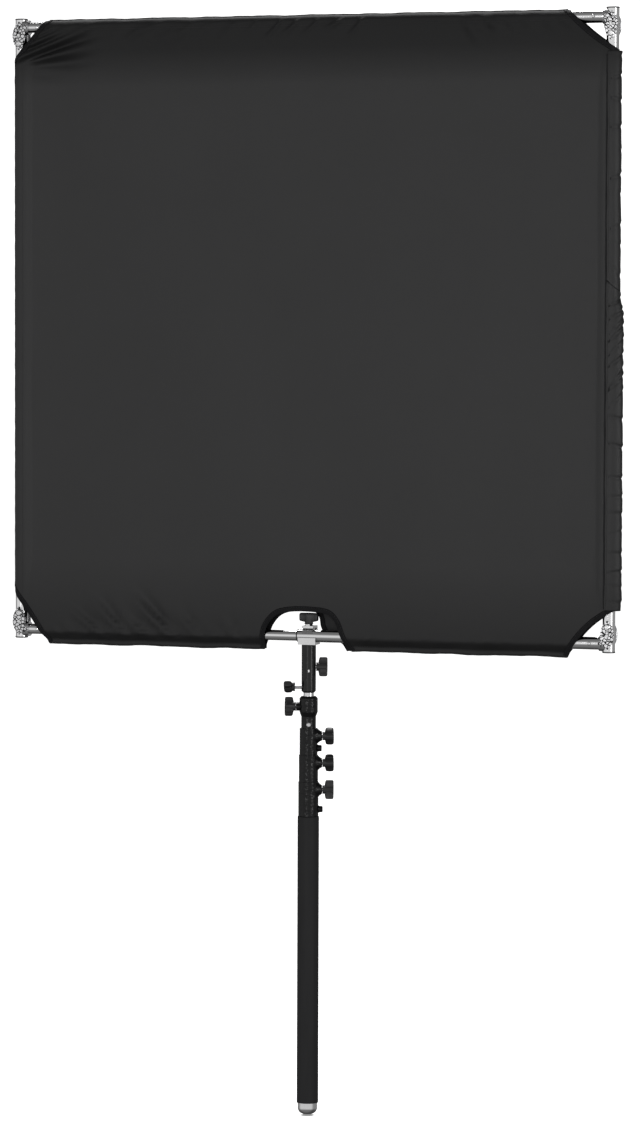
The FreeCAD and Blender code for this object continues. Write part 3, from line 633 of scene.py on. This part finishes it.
FOLDS = {
    FRONT: [
        *folds_at(SEAM_LEFT, SEAM_TOP - CUTS["top_left"][3] * MM, FAN),
        *folds_at(0, HEM_LOW, HEM_FOLDS),
        *puckers(FRONT_PUCKERS),
    ],
    BACK: [
        *puckers(BACK_PUCKERS),
        *folds_at(SEAM_LEFT, 0, [((8, 1590), (105, 1625), 6.0, 2.0, 0.7)]),
        *folds_at(SEAM_RIGHT, 0, [((-10, 1588), (-110, 1620), 6.0, 1.8, 0.7)]),
    ],
}


def ripple(place, lengths, phases):
    """A sum of a few gentle waves, between about -1 and 1."""
    waves = [np.sin(2 * math.pi * place / length + phase) for length, phase in zip(lengths, phases)]
    return sum(waves) / len(waves)


def relief(x, z, side):
    """How far the cloth stands out from its smooth shape, and in from it where it is negative."""
    total = sum(fold.relief(x, z) for fold in FOLDS[side])
    inside = np.minimum.reduce([x - LEFT, RIGHT - x, TOP - z, z - BOTTOM])
    free = ease(inside, 8 * MM, 34 * MM)
    level = np.minimum(TOP - z, z - BOTTOM)
    pull = 1.0 * MM * ease(inside, 6 * MM, 75 * MM) + 2.4 * MM * ease(level, 6 * MM, 130 * MM)
    wander = ripple(x + 0.35 * z, (0.41, 0.23, 0.31), (0.4 + side, 2.0, 4.1))
    wander = wander + ripple(z - 0.2 * x, (0.37, 0.29, 0.19), (1.1, 3.0 + side, 0.2))
    total = total - pull + 0.55 * MM * free * wander
    return np.maximum(total, -0.3 * MM - 5.5 * MM * free)


def surface(s, t, side):
    """Points of a panel, from distances across it and up it."""
    across_depth, x = look_up(ACROSS, s)
    up_depth, z = look_up(UP, t)
    depth = across_depth * up_depth / SKIN
    raised = depth + relief(x, z, side) * np.clip(depth / SKIN, 0, 1)
    slack = 1 - ease(t, 0, 20 * MM)
    sway = 1.7 * MM * ripple(x, (0.093, 0.147, 0.061), (0.3, 1.9, 4.0)) * slack
    dip = 1.1 * MM * ripple(x, (0.118, 0.071, 0.205), (2.2, 0.6, 3.3)) * slack
    top_slack = 1 - ease(HEIGHT - t, 0, 12 * MM)
    crest = 0.7 * MM * ripple(x, (0.083, 0.052, 0.131), (1.2, 2.6, 0.3)) * top_slack
    return np.stack([x, side * raised + sway, z + dip + crest], -1)


def outward(s, t, side):
    """The cloth's outward directions."""
    step = 0.6 * MM
    across = surface(s + step, t, side) - surface(s - step, t, side)
    up = surface(s, t + step, side) - surface(s, t - step, side)
    return unit(np.cross(across, up) * -side)


# ---- The panels' outlines, as distances on the cloth. Each runs with the cloth on its left.


def corner_cut(side, level, width, height, bow):
    """A cut across a corner, from the upright's seam to the top seam or the hem. Sizes are in mm."""
    x = SEAM_LEFT if side < 0 else SEAM_RIGHT
    z = HEM_LOW if level < 0 else SEAM_TOP
    ends = flat([(x, z - level * height * MM), (x - side * width * MM, z)])
    if side * level < 0:
        ends = ends[::-1]
    return resampled(arc(ends[0], ends[1], bow * MM), OUTLINE_STEP)


def notch(points):
    """The notch round the clamp, from points (x, height over the bottom rail's axis) in mm."""
    line = smooth_curve([(x * MM, BOTTOM + z * MM) for x, z in points])
    fitted = flat(line)
    low = line[:, 1] < HEM_LOW
    fitted[low, 1] = line[low, 1] - HEM_LOW
    return resampled(fitted, OUTLINE_STEP)


OUTLINE_STEP = 2.5 * MM
NOTCHES = {
    FRONT: [
        *[(-71, -24), (-70, -8), (-65, 14), (-49, 32), (-24, 38)],
        *[(10, 38), (33, 34), (46, 20), (55, -2), (69, -24)],
    ],
    BACK: [
        *[(-69, -24), (-68, -8), (-63, 13), (-48, 31), (-25, 38), (0, 38), (10, 35)],
        *[(15, 26), (17, 14), (24, 3), (39, -4), (55, -12), (64, -24)],
    ],
}
OUTLINES = {
    side: {**{corner: corner_cut(*cut) for corner, cut in CUTS.items()}, "notch": notch(points)}
    for side, points in NOTCHES.items()
}


def nearest_on(line, points):
    """For each point, its nearest place on the line, and its distance, negative outside the cloth."""
    start, run = line[:-1], np.diff(line, axis=0)
    length = np.sum(run**2, 1)
    best = np.full(len(points), np.inf)
    place = np.zeros_like(points)
    signed = np.zeros(len(points))
    for a, d, squared in zip(start, run, length):
        share = np.clip(((points - a) @ d) / squared, 0, 1)
        foot = a + share[:, None] * d
        off = points - foot
        distance = np.linalg.norm(off, axis=1)
        closer = distance < best - 1e-9
        turn = d[0] * (points[:, 1] - a[1]) - d[1] * (points[:, 0] - a[0])
        best = np.where(closer, distance, best)
        place[closer] = foot[closer]
        signed = np.where(closer, distance * np.sign(turn), signed)
    return place, signed


def stations(length, fine, bands):
    """Distances from 0 to length: fine steps within the bands, coarse ones elsewhere."""
    found = [0.0]
    while found[-1] < length:
        here = found[-1]
        near = min(max(low - here, here - high, 0) for low, high in bands)
        found.append(here + min(fine + 0.12 * near, 7 * MM))
    found = np.array(found)
    return found * (length / found[-1])


def make_panel(name, side, material):
    """One panel of the cover, cut at its corners and notch."""
    edge, hem, half_notch = 62 * MM, 84 * MM, 88 * MM
    middle_s = float(flat_across(0))
    across_bands = [(0, edge), (middle_s - half_notch, middle_s + half_notch), (WIDTH - edge, WIDTH)]
    s = stations(WIDTH, 2.4 * MM, across_bands)
    t = stations(HEIGHT, 2.2 * MM, [(0, hem), (HEIGHT - edge, HEIGHT)])
    points = np.stack(np.meshgrid(s, t, indexing="xy"), -1).reshape(-1, 2)
    wide = len(s)
    foot = points.copy()
    signed = np.full(len(points), np.inf)
    for line in OUTLINES[side].values():
        place, distance = nearest_on(line, points)
        closer = np.abs(distance) < np.abs(signed)
        signed = np.where(closer, distance, signed)
        foot[closer] = place[closer]
    faces = []
    for row in range(len(t) - 1):
        for column in range(wide - 1):
            a = row * wide + column
            corners = (a, a + 1, a + 1 + wide, a + wide)
            if sum(signed[k] for k in corners) > 0:
                faces.append(corners if side == FRONT else corners[::-1])
    mesh = bpy.data.meshes.new(name)
    mesh.from_pydata([(0, 0, 0)] * len(points), [], faces)
    loose = snap_to_outline(mesh, points, foot, signed)
    shaped = surface(*points.T, side)
    mesh.vertices.foreach_set("co", shaped.astype(np.float32).ravel())
    work = bmesh.new()
    work.from_mesh(mesh)
    work.verts.ensure_lookup_table()
    bmesh.ops.delete(work, geom=[work.verts[k] for k in loose], context="VERTS")
    work.to_mesh(mesh)
    work.free()
    mesh.update()
    mesh.shade_smooth()
    return new_object(name, mesh, material)


SNAP_REACH = 3.2 * MM


def snap_to_outline(mesh, points, foot, signed):
    """Moves the ragged edge's points to the outline, and returns the vertices that no face uses."""
    used = np.zeros(len(points), bool)
    count = {}
    for polygon in mesh.polygons:
        used[list(polygon.vertices)] = True
        for key in polygon.edge_keys:
            count[key] = count.get(key, 0) + 1
    rim = np.zeros(len(points), bool)
    for key, shared in count.items():
        if shared == 1:
            rim[list(key)] = True
    moved = used & ((signed < 0) | (rim & (np.abs(signed) < SNAP_REACH)))
    points[moved] = foot[moved]
    return np.flatnonzero(~used)


# ---- Bindings, seams and stitches

TAPE_WIDTH = 7 * MM
TAPE_LIFT = 0.55 * MM


def inward(line):
    """Directions to the left of a line of distances on the cloth, which is into the cloth."""
    run = unit(np.gradient(line, axis=0))
    return np.stack([-run[:, 1], run[:, 0]], 1)


def tape_rows(line, side):
    """A tape folded over a panel's edge: a closed cross-section at each point of the line."""
    turn = inward(line)
    outside, inside = [], []
    for share in (1, 0.7, 0.35, 0):
        at = line + turn * TAPE_WIDTH * share
        skin = surface(*at.T, side)
        normal = outward(*at.T, side)
        swell = TAPE_LIFT * (1.0 if share else 0.7)
        outside.append(skin + normal * swell)
        inside.append(skin - normal * swell)
    edge = outside[-1] + inside[-1]
    off = unit(edge / 2 - (outside[0] + inside[0]) / 2)
    fold = edge / 2 + off * 1.0 * MM
    root = (outside[0] + inside[0]) / 2
    return np.stack([root, *outside, fold, *inside[::-1]], 1)


def tape_object(name, rows, closed):
    """A tape through its cross-sections, a ring or a strip with closed ends."""
    lengths = running_length(rows.mean(1))
    mesh = grid_mesh(name, rows, True, closed, lengths, capped=not closed)
    return new_object(name, mesh, GROSGRAIN)


def corner_binding(corner):
    """One tape round a cut corner: along the front panel's edge, and back along the back panel's."""
    front = tape_rows(OUTLINES[FRONT][corner], FRONT)
    back = tape_rows(OUTLINES[BACK][corner], BACK)[::-1]
    return tape_object(f"{corner}_binding", np.concatenate([front, back]), True)


def stitch_mesh(name, points, directions, normals):
    """Raised stitches, each a short thread that dips into the cloth at both ends."""
    length, thickness, sides = 2.9 * MM, 0.42 * MM, 6
    profile = [(-0.5, -0.5, 0.45), (-0.28, 0.35, 1.0), (0.28, 0.35, 1.0), (0.5, -0.5, 0.45)]
    vertices, faces = [], []
    for point, along, normal in zip(points, directions, normals):
        across = np.cross(normal, along)
        for place, lift, swell in profile:
            centre = point + along * length * place + normal * thickness * lift
            low = len(vertices)
            for k in range(sides):
                a = 2 * math.pi * k / sides
                ring = across * math.cos(a) + normal * math.sin(a)
                vertices.append(centre + ring * thickness * 0.5 * swell)
                if place < profile[-1][0]:
                    beside = low + (k + 1) % sides
                    faces.append((low + k, beside, beside + sides, low + k + sides))
    mesh = bpy.data.meshes.new(name)
    mesh.from_pydata([tuple(v) for v in vertices], [], faces)
    mesh.update()
    mesh.shade_smooth()
    return new_object(name, mesh, THREAD)


STITCH_PITCH = 4 * MM


def stitch_line(line, side, lift):
    """Places, directions and normals of stitches along a line of distances on the cloth."""
    path = resampled(line, STITCH_PITCH)
    middles = (path[:-1] + path[1:]) / 2
    skin = surface(*middles.T, side)
    normal = outward(*middles.T, side)
    ends = surface(*path.T, side)
    along = unit(np.diff(ends, axis=0))
    return skin + normal * lift, along, normal


def tape_stitches(name, cut):
    """Stitches on both panels' tapes at one cut, a little in from their free edges."""
    found = []
    for side in (FRONT, BACK):
        line = OUTLINES[side][cut]
        at = line + inward(line) * (TAPE_WIDTH - 1.8 * MM)
        found.append(stitch_line(at[2:-2], side, TAPE_LIFT))
    return stitch_mesh(name, *[np.concatenate(part) for part in zip(*found)])


def clear_of_cuts(line, side, room):
    """The stretches of a line that are more than room inside every outline."""
    path = resampled(line, 2 * MM)
    inside = np.full(len(path), True)
    for outline in OUTLINES[side].values():
        inside &= nearest_on(outline, path)[1] > room
    breaks = np.flatnonzero(np.diff(inside.astype(int))) + 1
    parts = zip(np.split(path, breaks), np.split(inside, breaks))
    return [part for part, kept in parts if kept[0] and len(part) > 5]


def seam_stitches(name, side):
    """Top stitching along one panel's hem, left seam and top seam, and at the back the flaps' seam."""
    edge = QUARTER + 5 * MM
    hem = HEM_BAND + 1.2 * MM
    flap = WIDTH - QUARTER - 24 * MM
    lines = [
        [(0, hem), (WIDTH, hem)],
        [(edge, 0), (edge, HEIGHT)],
        [(0, HEIGHT - edge), (WIDTH, HEIGHT - edge)],
        [(flap, 0), (flap, HEIGHT)],
    ]
    found = []
    for line in lines[: 3 if side == FRONT else 4]:
        for part in clear_of_cuts(np.array(line), side, TAPE_WIDTH + 1 * MM):
            found.append(stitch_line(part, side, 0.1 * MM))
    return stitch_mesh(name, *[np.concatenate(part) for part in zip(*found)])


def welt(name, line, outward_direction, height, half_thickness, seed):
    """A narrow seam that stands out from the cover's edge, with small puckers."""
    path = resampled(np.array(line), 3 * MM)
    skin = surface(*path.T, FRONT)
    skin[:, 1] = (skin[:, 1] + surface(*path.T, BACK)[:, 1]) / 2
    along = unit(np.gradient(skin, axis=0))
    out = np.broadcast_to(np.array(outward_direction, float), along.shape)
    through = unit(np.cross(along, out))
    far = running_length(skin)
    puckers = ripple(far, (0.017, 0.029, 0.043), (seed, seed * 2.0, 1.0))
    tall = (height * (1 + 0.16 * puckers))[:, None]
    lean = (0.35 * MM * ripple(far, (0.023, 0.037, 0.061), (seed * 1.7, 0.4, 2.1)))[:, None]
    root = -1.2 * MM / height
    shape = [(-1, root), (-1, 0.55), (-0.7, 0.9), (0, 1), (0.7, 0.9), (1, 0.55), (1, root)]
    rows = [skin + through * (half_thickness * a + lean * max(b, 0)) + out * tall * b for a, b in shape]
    rows = np.stack(rows, 1)
    mesh = grid_mesh(name, rows, True, False, far, capped=True)
    return new_object(name, mesh, CLOTH)


def make_welts():
    """The seams along the left side, the top, and the hem on each side of the notch."""
    cuts = OUTLINES[FRONT]
    low, high = cuts["bottom_left"][:, 1].max(), cuts["top_left"][:, 1].min()
    left, right = cuts["top_left"][:, 0].max(), cuts["top_right"][:, 0].min()
    hem_start, hem_end = cuts["bottom_left"][:, 0].max(), cuts["bottom_right"][:, 0].min()
    notch_start, notch_end = cuts["notch"][:, 0].min(), cuts["notch"][:, 0].max()
    down = (0, 0, -1)
    return [
        welt("left_welt", [(0, low), (0, high)], (-1, 0, 0), 1.5 * MM, 0.6 * MM, 0.7),
        welt("top_welt", [(left, HEIGHT), (right, HEIGHT)], (0, 0, 1), 1.6 * MM, 0.6 * MM, 1.9),
        welt("hem_welt_left", [(hem_start, 0), (notch_start, 0)], down, 1.4 * MM, 1.35 * MM, 2.6),
        welt("hem_welt_right", [(notch_end, 0), (hem_end, 0)], down, 1.4 * MM, 1.35 * MM, 3.3),
    ]


# ---- The closure along the right edge: a flap sewn to the back panel, round the upright to the front


FLAP_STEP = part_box("closure_flap_lower")[1].z
NARROW_REACH = 13.2 * MM


# A flap's creases: the gap to the next in mm, the depth in mm and the slope, each from low to high.
SPREAD = ((22, 46), (0.8, 1.7), (-0.3, 0.3))
CROWDED = ((13, 24), (1.6, 2.9), (0.5, 1.3))


def flap_creases(name, lower):
    """Creases across a flap, each (height, slope, width, depth). They crowd below the flaps' step."""
    rng = random.Random(31 if lower else 30)
    low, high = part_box(name)
    creases = []
    z = low.z + 12 * MM
    while z < high.z - 8 * MM:
        ranges = CROWDED if lower and z > high.z - 190 * MM else SPREAD
        gap, depth, slope = [rng.uniform(*ends) for ends in ranges]
        creases.append((z, slope, rng.uniform(2.2, 3.6) * MM, depth * MM))
        z += gap * MM
    return creases


def flap_edge(z):
    """How far a flap's free edge wanders from its line."""
    return 0.8 * MM * ripple(z, (0.21, 0.093, 0.057), (1.0, 2.4, 0.7))


def make_flap(name, lower):
    """A strip of cloth from the back panel, round the right upright, to its free edge in front."""
    low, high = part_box(name)
    reach = high.x - RIGHT
    room = SKIN + 1.5 * MM
    z = np.arange(low.z - (0 if lower else 10 * MM), high.z, 2.5 * MM)
    free = RIGHT - 4.6 * MM
    sewn = RIGHT - 26 * MM
    turns = np.radians(np.linspace(-90, 90, 22))
    bottom_step = ease(z, low.z, low.z + 20 * MM)
    top_step = 1 - ease(z, high.z - 52 * MM, high.z + 2 * MM) if lower else 1 + 0 * z
    reach_here = NARROW_REACH + (reach - NARROW_REACH) * top_step * (0.75 + 0.25 * bottom_step)
    reach_here = reach_here + 0.5 * MM * ripple(z, (0.083, 0.131, 0.047), (0.2, 1.4, 2.9))
    edge = flap_edge(z)
    hem = [(0, -0.25), (0.7, -0.75), (1.7, -0.75), (2.5, -0.1)]
    columns = [(free + x * MM + edge, -room + y * MM) for x, y in hem]
    columns += [(RIGHT + reach_here * math.cos(a), room * math.sin(a)) for a in turns]
    columns += [(RIGHT - 8 * MM, room - 0.3 * MM), (RIGHT - 18 * MM, SKIN + 0.9 * MM)]
    columns += [(sewn, SKIN + 0.4 * MM)]
    rows = np.stack([np.stack([c[0] + 0 * z, c[1] + 0 * z, z], 1) for c in columns], 1)
    slant = 15 * MM * np.exp(-(((z - FLAP_STEP) / (45 * MM)) ** 2))
    rows[..., 2] -= slant[:, None] * np.clip((rows[..., 0] - free) / (18 * MM), 0, 1)
    path = running_length(rows[len(z) // 2])
    across = np.gradient(rows, axis=1)
    normal = unit(np.cross(across, np.gradient(rows, axis=0)))
    crease = np.zeros(rows.shape[:2])
    for height, slope, width, depth in flap_creases(name, lower):
        centre = height + slope * (path - path.mean())[None, :]
        off = (z[:, None] - centre) / width
        crease += depth * (0.55 * np.exp(-((off - 1.3) ** 2)) - np.exp(-(off**2)))
    shape = np.sin(np.pi * np.clip(path / path[-1], 0, 1))[None, :] ** 0.8
    rows = rows + normal * (crease * shape)[..., None]
    clear = np.hypot(rows[..., 0] - RIGHT, rows[..., 1])
    short = (rows[..., 0] > RIGHT - 6 * MM) & (clear < SKIN + 0.5 * MM)
    scale = np.where(short, (SKIN + 0.5 * MM) / np.maximum(clear, 1e-6), 1)
    rows[..., 0] = RIGHT + (rows[..., 0] - RIGHT) * scale
    rows[..., 1] = rows[..., 1] * scale
    made = new_object(f"{name}_cloth", grid_mesh(name, rows), CLOTH)
    thick = made.modifiers.new("thickness", "SOLIDIFY")
    thick.thickness = 0.6 * MM
    thick.offset = -1
    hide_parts(name)
    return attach(made, "frame_right")


def flap_stitches():
    """A row of stitches near the flaps' free edge."""
    points = []
    for name in ("closure_flap_lower", "closure_flap_upper"):
        low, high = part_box(name)
        for z in np.arange(low.z + 6 * MM, high.z - 5 * MM, STITCH_PITCH):
            points.append((RIGHT - 1.6 * MM + flap_edge(z), -SKIN - 1.75 * MM, z))
    points = np.array(points)
    along = np.broadcast_to([0.0, 0.0, 1.0], points.shape)
    normal = np.broadcast_to([0.0, -1.0, 0.0], points.shape)
    return stitch_mesh("flap_stitches", points, along, normal)


def make_hook_tape():
    """The tape under the flaps' free edge, a strip with a piled face."""
    low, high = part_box("hook_and_loop_tape")
    z = np.arange(low.z + 3 * MM, high.z - 3 * MM, 6 * MM)
    left, right = RIGHT - 7 * MM, RIGHT + 1.5 * MM
    shade_and_gloss, base = -SKIN - 1.15 * MM, -SKIN + 0.2 * MM
    wave = 0.25 * MM * ripple(z, (0.05, 0.083, 0.031), (0.1, 1.0, 2.0))
    round_off = [(left, shade_and_gloss + 0.2 * MM), (left + 0.5 * MM, shade_and_gloss)]
    shape = [(left, base), *round_off, (right, shade_and_gloss), (right, base)]
    rows = np.stack([np.stack([x + wave, y + 0 * z, z], 1) for x, y in shape], 1)
    mesh = grid_mesh("hook_strip", rows, True, False, capped=True)
    made = new_object("hook_and_loop_strip", mesh, HOOKS)
    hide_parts("hook_and_loop_tape")
    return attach(made, "frame_right")


# ---- T knobs


def knob_axes(node, joint):
    """A knob's seat, the way it points and the way its bar lies, read from its node."""
    axis = Vector(JOINTS[joint]["axis"]).normalized()
    centre = Vector(JOINTS[joint]["pos_m"])
    points = [v.co for v in NODES[node].data.vertices]
    heights = [(p - centre).dot(axis) for p in points]
    if abs(min(heights)) > abs(max(heights)):
        axis = -axis
        heights = [-h for h in heights]
    seat = min(heights)
    flat_points = np.array([(p - centre) - axis * (p - centre).dot(axis) for p in points])
    spread = flat_points.T @ flat_points
    bar = Vector(np.linalg.eigh(spread)[1][:, -1])
    return centre + axis * seat, axis, (bar - axis * bar.dot(axis)).normalized()


def superellipse(count, power):
    """A rounded square two units across, squarer for a higher power."""
    angles = np.linspace(0, 2 * math.pi, count, endpoint=False)
    return [np.sign(v) * np.abs(v) ** (2 / power) for v in (np.cos(angles), np.sin(angles))]


KNOB_HALF = 14.5 * MM
KNOBS = ("collar_a", "collar_b", "collar_c", "head", "receiver_low", "receiver_high", "rail")


def knob_bar_rows():
    """Cross-sections along the bar, with grip ribs on both flanks."""
    across, up = superellipse(20, 3.2)
    rows = []
    for share in np.concatenate([[-1, -0.985, -0.95], np.linspace(-0.9, 0.9, 37), [0.95, 0.985, 1]]):
        out = abs(share)
        end = math.sqrt(max(0.0, 1 - ((out - 0.9) / 0.1) ** 2)) if out > 0.9 else 1
        end = 0.70 + 0.30 * end
        half_width = (4.6 - 0.9 * ease(out, 0.2, 0.62) + 0.75 * ease(out, 0.6, 0.95)) * MM
        if 0.30 < out < 0.88:
            half_width += 0.28 * MM * math.cos(2 * math.pi * out / 0.115)
        low = (3.0 + 1.4 * ease(out, 0.4, 1.0)) * MM
        high = (17.2 - 0.4 * out**2) * MM
        height = (high + low) / 2 + up * (high - low) / 2 * end
        rows.append(np.stack([across * half_width * end, 0 * up + share * KNOB_HALF, height], 1))
    return np.array(rows)


def knob_hub_rows():
    """The round hub under the bar, with shallow flutes and a washer face at its foot."""
    sides = 48
    angles = np.linspace(0, 2 * math.pi, sides, endpoint=False)
    flutes = 0.22 * MM * np.cos(angles * 12)
    profile = [(3.2, 0.0, 0), (6.4, 0.0, 0), (6.8, 0.35, 0), (6.8, 0.9, 0), (6.4, 1.2, 0.4)]
    profile += [(6.3, 1.8, 1), (6.3, 14.6, 1), (6.0, 15.8, 0.6), (5.0, 16.6, 0), (3.2, 17.0, 0)]
    rows = []
    for radius, height, share in profile:
        r = radius * MM + flutes * share
        rows.append(np.stack([r * np.cos(angles), r * np.sin(angles), np.full(sides, height * MM)], 1))
    return np.array(rows)


def make_knob(node, joint, body):
    """A T knob's moulding, on the seat and along the bar of its CAD node."""
    seat, axis, bar = knob_axes(node, joint)
    turn = Matrix((bar.cross(axis), bar, axis)).transposed()
    place = Matrix.Translation(seat) @ turn.to_4x4()
    work = bmesh.new()
    for rows in (knob_bar_rows(), knob_hub_rows()):
        part = grid_mesh("part", rows, True, False, capped=True)
        work.from_mesh(part)
        bpy.data.meshes.remove(part)
    bmesh.ops.recalc_face_normals(work, faces=work.faces)
    mesh = bpy.data.meshes.new(f"{node}_moulding")
    work.to_mesh(mesh)
    work.free()
    mesh.transform(place)
    mesh.shade_smooth()
    made = new_object(f"{node}_moulding", mesh, NYLON)
    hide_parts(node)
    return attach(made, body)


def boss_rows(centre, axis, barrel, top, profile):
    """A boss cast on a round barrel: its foot follows the barrel and its face is flat."""
    sides = 40
    angles = np.linspace(0, 2 * math.pi, sides, endpoint=False)
    sideways = np.array(Vector((0, 0, 1)).cross(axis))
    rows = []
    for share, radius in profile:
        across = radius * MM * np.cos(angles)
        foot = np.sqrt(barrel**2 - across**2) - 0.8 * MM
        out = (1 - share) * foot + share * top
        row = out[:, None] * np.array(axis) + across[:, None] * sideways
        row[:, 2] += centre + radius * MM * np.sin(angles)
        rows.append(row)
    return np.array(rows)


COLLAR_BODIES = {"a": "pole", "b": "section_b", "c": "section_c"}

# Bosses' profiles: the share of the way from the barrel to the face, and the radius in mm.
LUG_FLARE = [
    *[(0, 12.4), (0.12, 11.6), (0.3, 10.2), (0.5, 9.0), (0.7, 8.1)],
    *[(0.9, 7.6), (1, 7.2), (1, 6.2), (0, 6.2)],
]
EAR_PAD = [(0, 5.6), (0.5, 5.0), (0.85, 4.9), (1, 4.2), (1, 0.3)]


def make_bosses():
    """The cast flares under the collars' lugs, and the fuller pads round their pinch ears."""
    for key, body in COLLAR_BODIES.items():
        seat, axis, bar = knob_axes(f"collar_{key}_knob", f"turn_collar_{key}_knob")
        points = np.array([v.co for v in NODES[f"clamp_collar_{key}"].data.vertices])
        out = points @ np.array(axis)
        barrel = -out.min()
        far = np.abs(points[:, 2] - seat.z) > 8 * MM
        ear = points[far & (out > barrel + 3 * MM)]
        shapes = [("flare", seat.z, seat.dot(axis) - 1.3 * MM, LUG_FLARE)]
        if len(ear):
            tip = (ear @ np.array(axis)).max()
            shapes.append(("ear_pad", ear[:, 2].mean(), tip + 0.4 * MM, EAR_PAD))
        for kind, level, top, profile in shapes:
            name = f"collar_{key}_{kind}"
            room = (min(level - points[:, 2].min(), points[:, 2].max() - level) - 0.5 * MM) / MM
            fitted = [(share, min(radius, room)) for share, radius in profile]
            rows = boss_rows(level, axis, barrel, top, fitted)
            ring = kind == "flare"
            mesh = grid_mesh(name, rows, True, ring, capped=not ring)
            mesh.shade_smooth()
            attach(new_object(name, mesh, CAST_ENAMEL), body)


# ---- The cover put together


def make_cover():
    """Both panels with their tapes, stitches, welts and flaps. The tapes, the flaps and the stitches on them go on
    the bodies that they move with.
    """
    front = make_panel("cover_front_cloth", FRONT, CLOTH)
    back = make_panel("cover_back_cloth", BACK, LINING)
    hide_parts("cover_front")
    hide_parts("cover_back")
    front_notch = tape_object("front_notch_binding", tape_rows(OUTLINES[FRONT]["notch"], FRONT), False)
    back_notch = tape_object("back_notch_binding", tape_rows(OUTLINES[BACK]["notch"], BACK), False)
    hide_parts("notch_binding")
    corners = {corner: corner_binding(corner) for corner in OUTLINES[FRONT] if corner != "notch"}
    front_sewing = seam_stitches("front_seam_stitches", FRONT)
    back_sewing = seam_stitches("back_seam_stitches", BACK)
    edge_sewing = {edge: tape_stitches(f"{edge}_stitches", edge) for edge in OUTLINES[FRONT]}
    welts = make_welts()
    # The panels, their seam stitches and the welts go on no body: their placement is baked into their meshes.
    for piece in (front, back, front_sewing, back_sewing, *welts):
        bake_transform(piece)
    for piece in (front_notch, back_notch, edge_sewing["notch"]):
        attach(piece, "frame_right")
    for corner, tape in corners.items():
        body = "frame_left" if corner.endswith("left") else "frame_right"
        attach(tape, body)
        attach(edge_sewing[corner], body)
    upper = make_flap("closure_flap_upper", False)
    lower = make_flap("closure_flap_lower", True)
    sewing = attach(flap_stitches(), "frame_right")
    hook = make_hook_tape()


# ---- The studio: a pale sweep, soft lights and the camera


def make_stage():
    """A white floor that curves up all round, far off. It isn't seen in the object's gloss."""
    floor_level = CAD_BOX[0].z - 2 * MM
    reach, bend, wall = 20.0, 2.5, 12.0
    curve = np.radians(np.linspace(6, 90, 15))
    profile = [(0.01, 0.0), (reach - bend, 0.0)]
    profile += [(reach - bend + bend * math.sin(a), bend * (1 - math.cos(a))) for a in curve]
    profile.append((reach, wall))
    rows = [
        [(r * math.cos(turn), r * math.sin(turn), floor_level + z) for r, z in profile]
        for turn in np.linspace(0, 2 * math.pi, 73)
    ]
    sweep = linked("paper_sweep", grid_mesh("paper_sweep", np.array(rows)))
    glow = {"Emission_Color": (1, 1, 1, 1), "Emission_Strength": 0.95}
    paint = Paint("white paper", (0.9, 0.9, 0.9), 0.9, Specular_IOR_Level=0.1, **glow)
    paint.colour(paint.noise(0.8, 2), (0.88, 0.88, 0.88), (0.90, 0.90, 0.90))
    sweep.data.materials.append(paint.material)
    sweep.visible_glossy = False
    sweep.visible_diffuse = False


def area_light(name, place, aim, size, watts):
    data = bpy.data.lights.new(name, "AREA")
    data.shape = "RECTANGLE"
    data.size, data.size_y = size
    data.energy = watts
    lamp = linked(name, data)
    lamp.location = place
    lamp.rotation_euler = (Vector(aim) - Vector(place)).to_track_quat("-Z", "Y").to_euler()


def make_world():
    """Soft light from a bright band in front, with a dim ceiling, back and floor."""
    world = bpy.data.worlds.new("soft studio")
    bpy.context.scene.world = world
    world.use_nodes = True
    tree = world.node_tree
    where = add_node(tree, "ShaderNodeTexCoord").outputs["Generated"]
    split = add_node(tree, "ShaderNodeSeparateXYZ", {0: where}).outputs
    height = add_node(tree, "ShaderNodeMath", {0: split["Z"]}, operation="ABSOLUTE").outputs[0]
    bands = []
    for value, start, end, low, high in (
        (height, 0.08, 0.65, 1.0, 0.24),
        (split["Y"], -0.45, 0.15, 0.80, 0.32),
    ):
        found = {"Value": value, "From Min": start, "From Max": end, "To Min": low, "To Max": high}
        ramp = add_node(tree, "ShaderNodeMapRange", found, interpolation_type="SMOOTHSTEP")
        bands.append(ramp.outputs["Result"])
    both = add_node(tree, "ShaderNodeMath", {0: bands[0], 1: bands[1]}, operation="MULTIPLY")
    background = tree.nodes["Background"]
    tree.links.new(both.outputs[0], background.inputs["Strength"])
    background.inputs["Color"].default_value = (1, 1, 1, 1)


def make_lights():
    area_light("key", (-0.3, -6.6, 1.2), (0, 0, 1.0), (1.5, 1.5), 35)
    area_light("fill", (5.4, -2.6, 1.3), (0, 0, 0.9), (0.9, 2.6), 45)
    area_light("back", (-1.5, 3.4, 7.5), (0, 0, 1.0), (2.5, 2.5), 360)


CAMERA_PLACE = (2.028, -6.236, 1.177)
CAMERA_YAW, CAMERA_PITCH, CAMERA_ROLL = (math.radians(angle) for angle in (17.87, -3.06, -0.19))


def make_camera():
    data = bpy.data.cameras.new("camera")
    data.sensor_width = 36
    data.lens = 137.8
    camera = linked("camera", data)
    turn = Matrix.Rotation(CAMERA_YAW, 4, "Z") @ Matrix.Rotation(CAMERA_PITCH, 4, "X")
    turn = turn @ Matrix.Rotation(CAMERA_ROLL, 4, "Y") @ Matrix.Rotation(math.pi / 2, 4, "X")
    camera.matrix_world = Matrix.Translation(CAMERA_PLACE) @ turn
    bpy.context.scene.camera = camera


paint_cad_nodes()
make_cover()
for knob in KNOBS:
    make_knob(f"{knob}_knob", f"turn_{knob}_knob", f"{knob}_t_knob")
make_bosses()
make_stage()
make_world()
make_lights()
make_camera()
bpy.context.scene.view_settings.view_transform = "Standard"
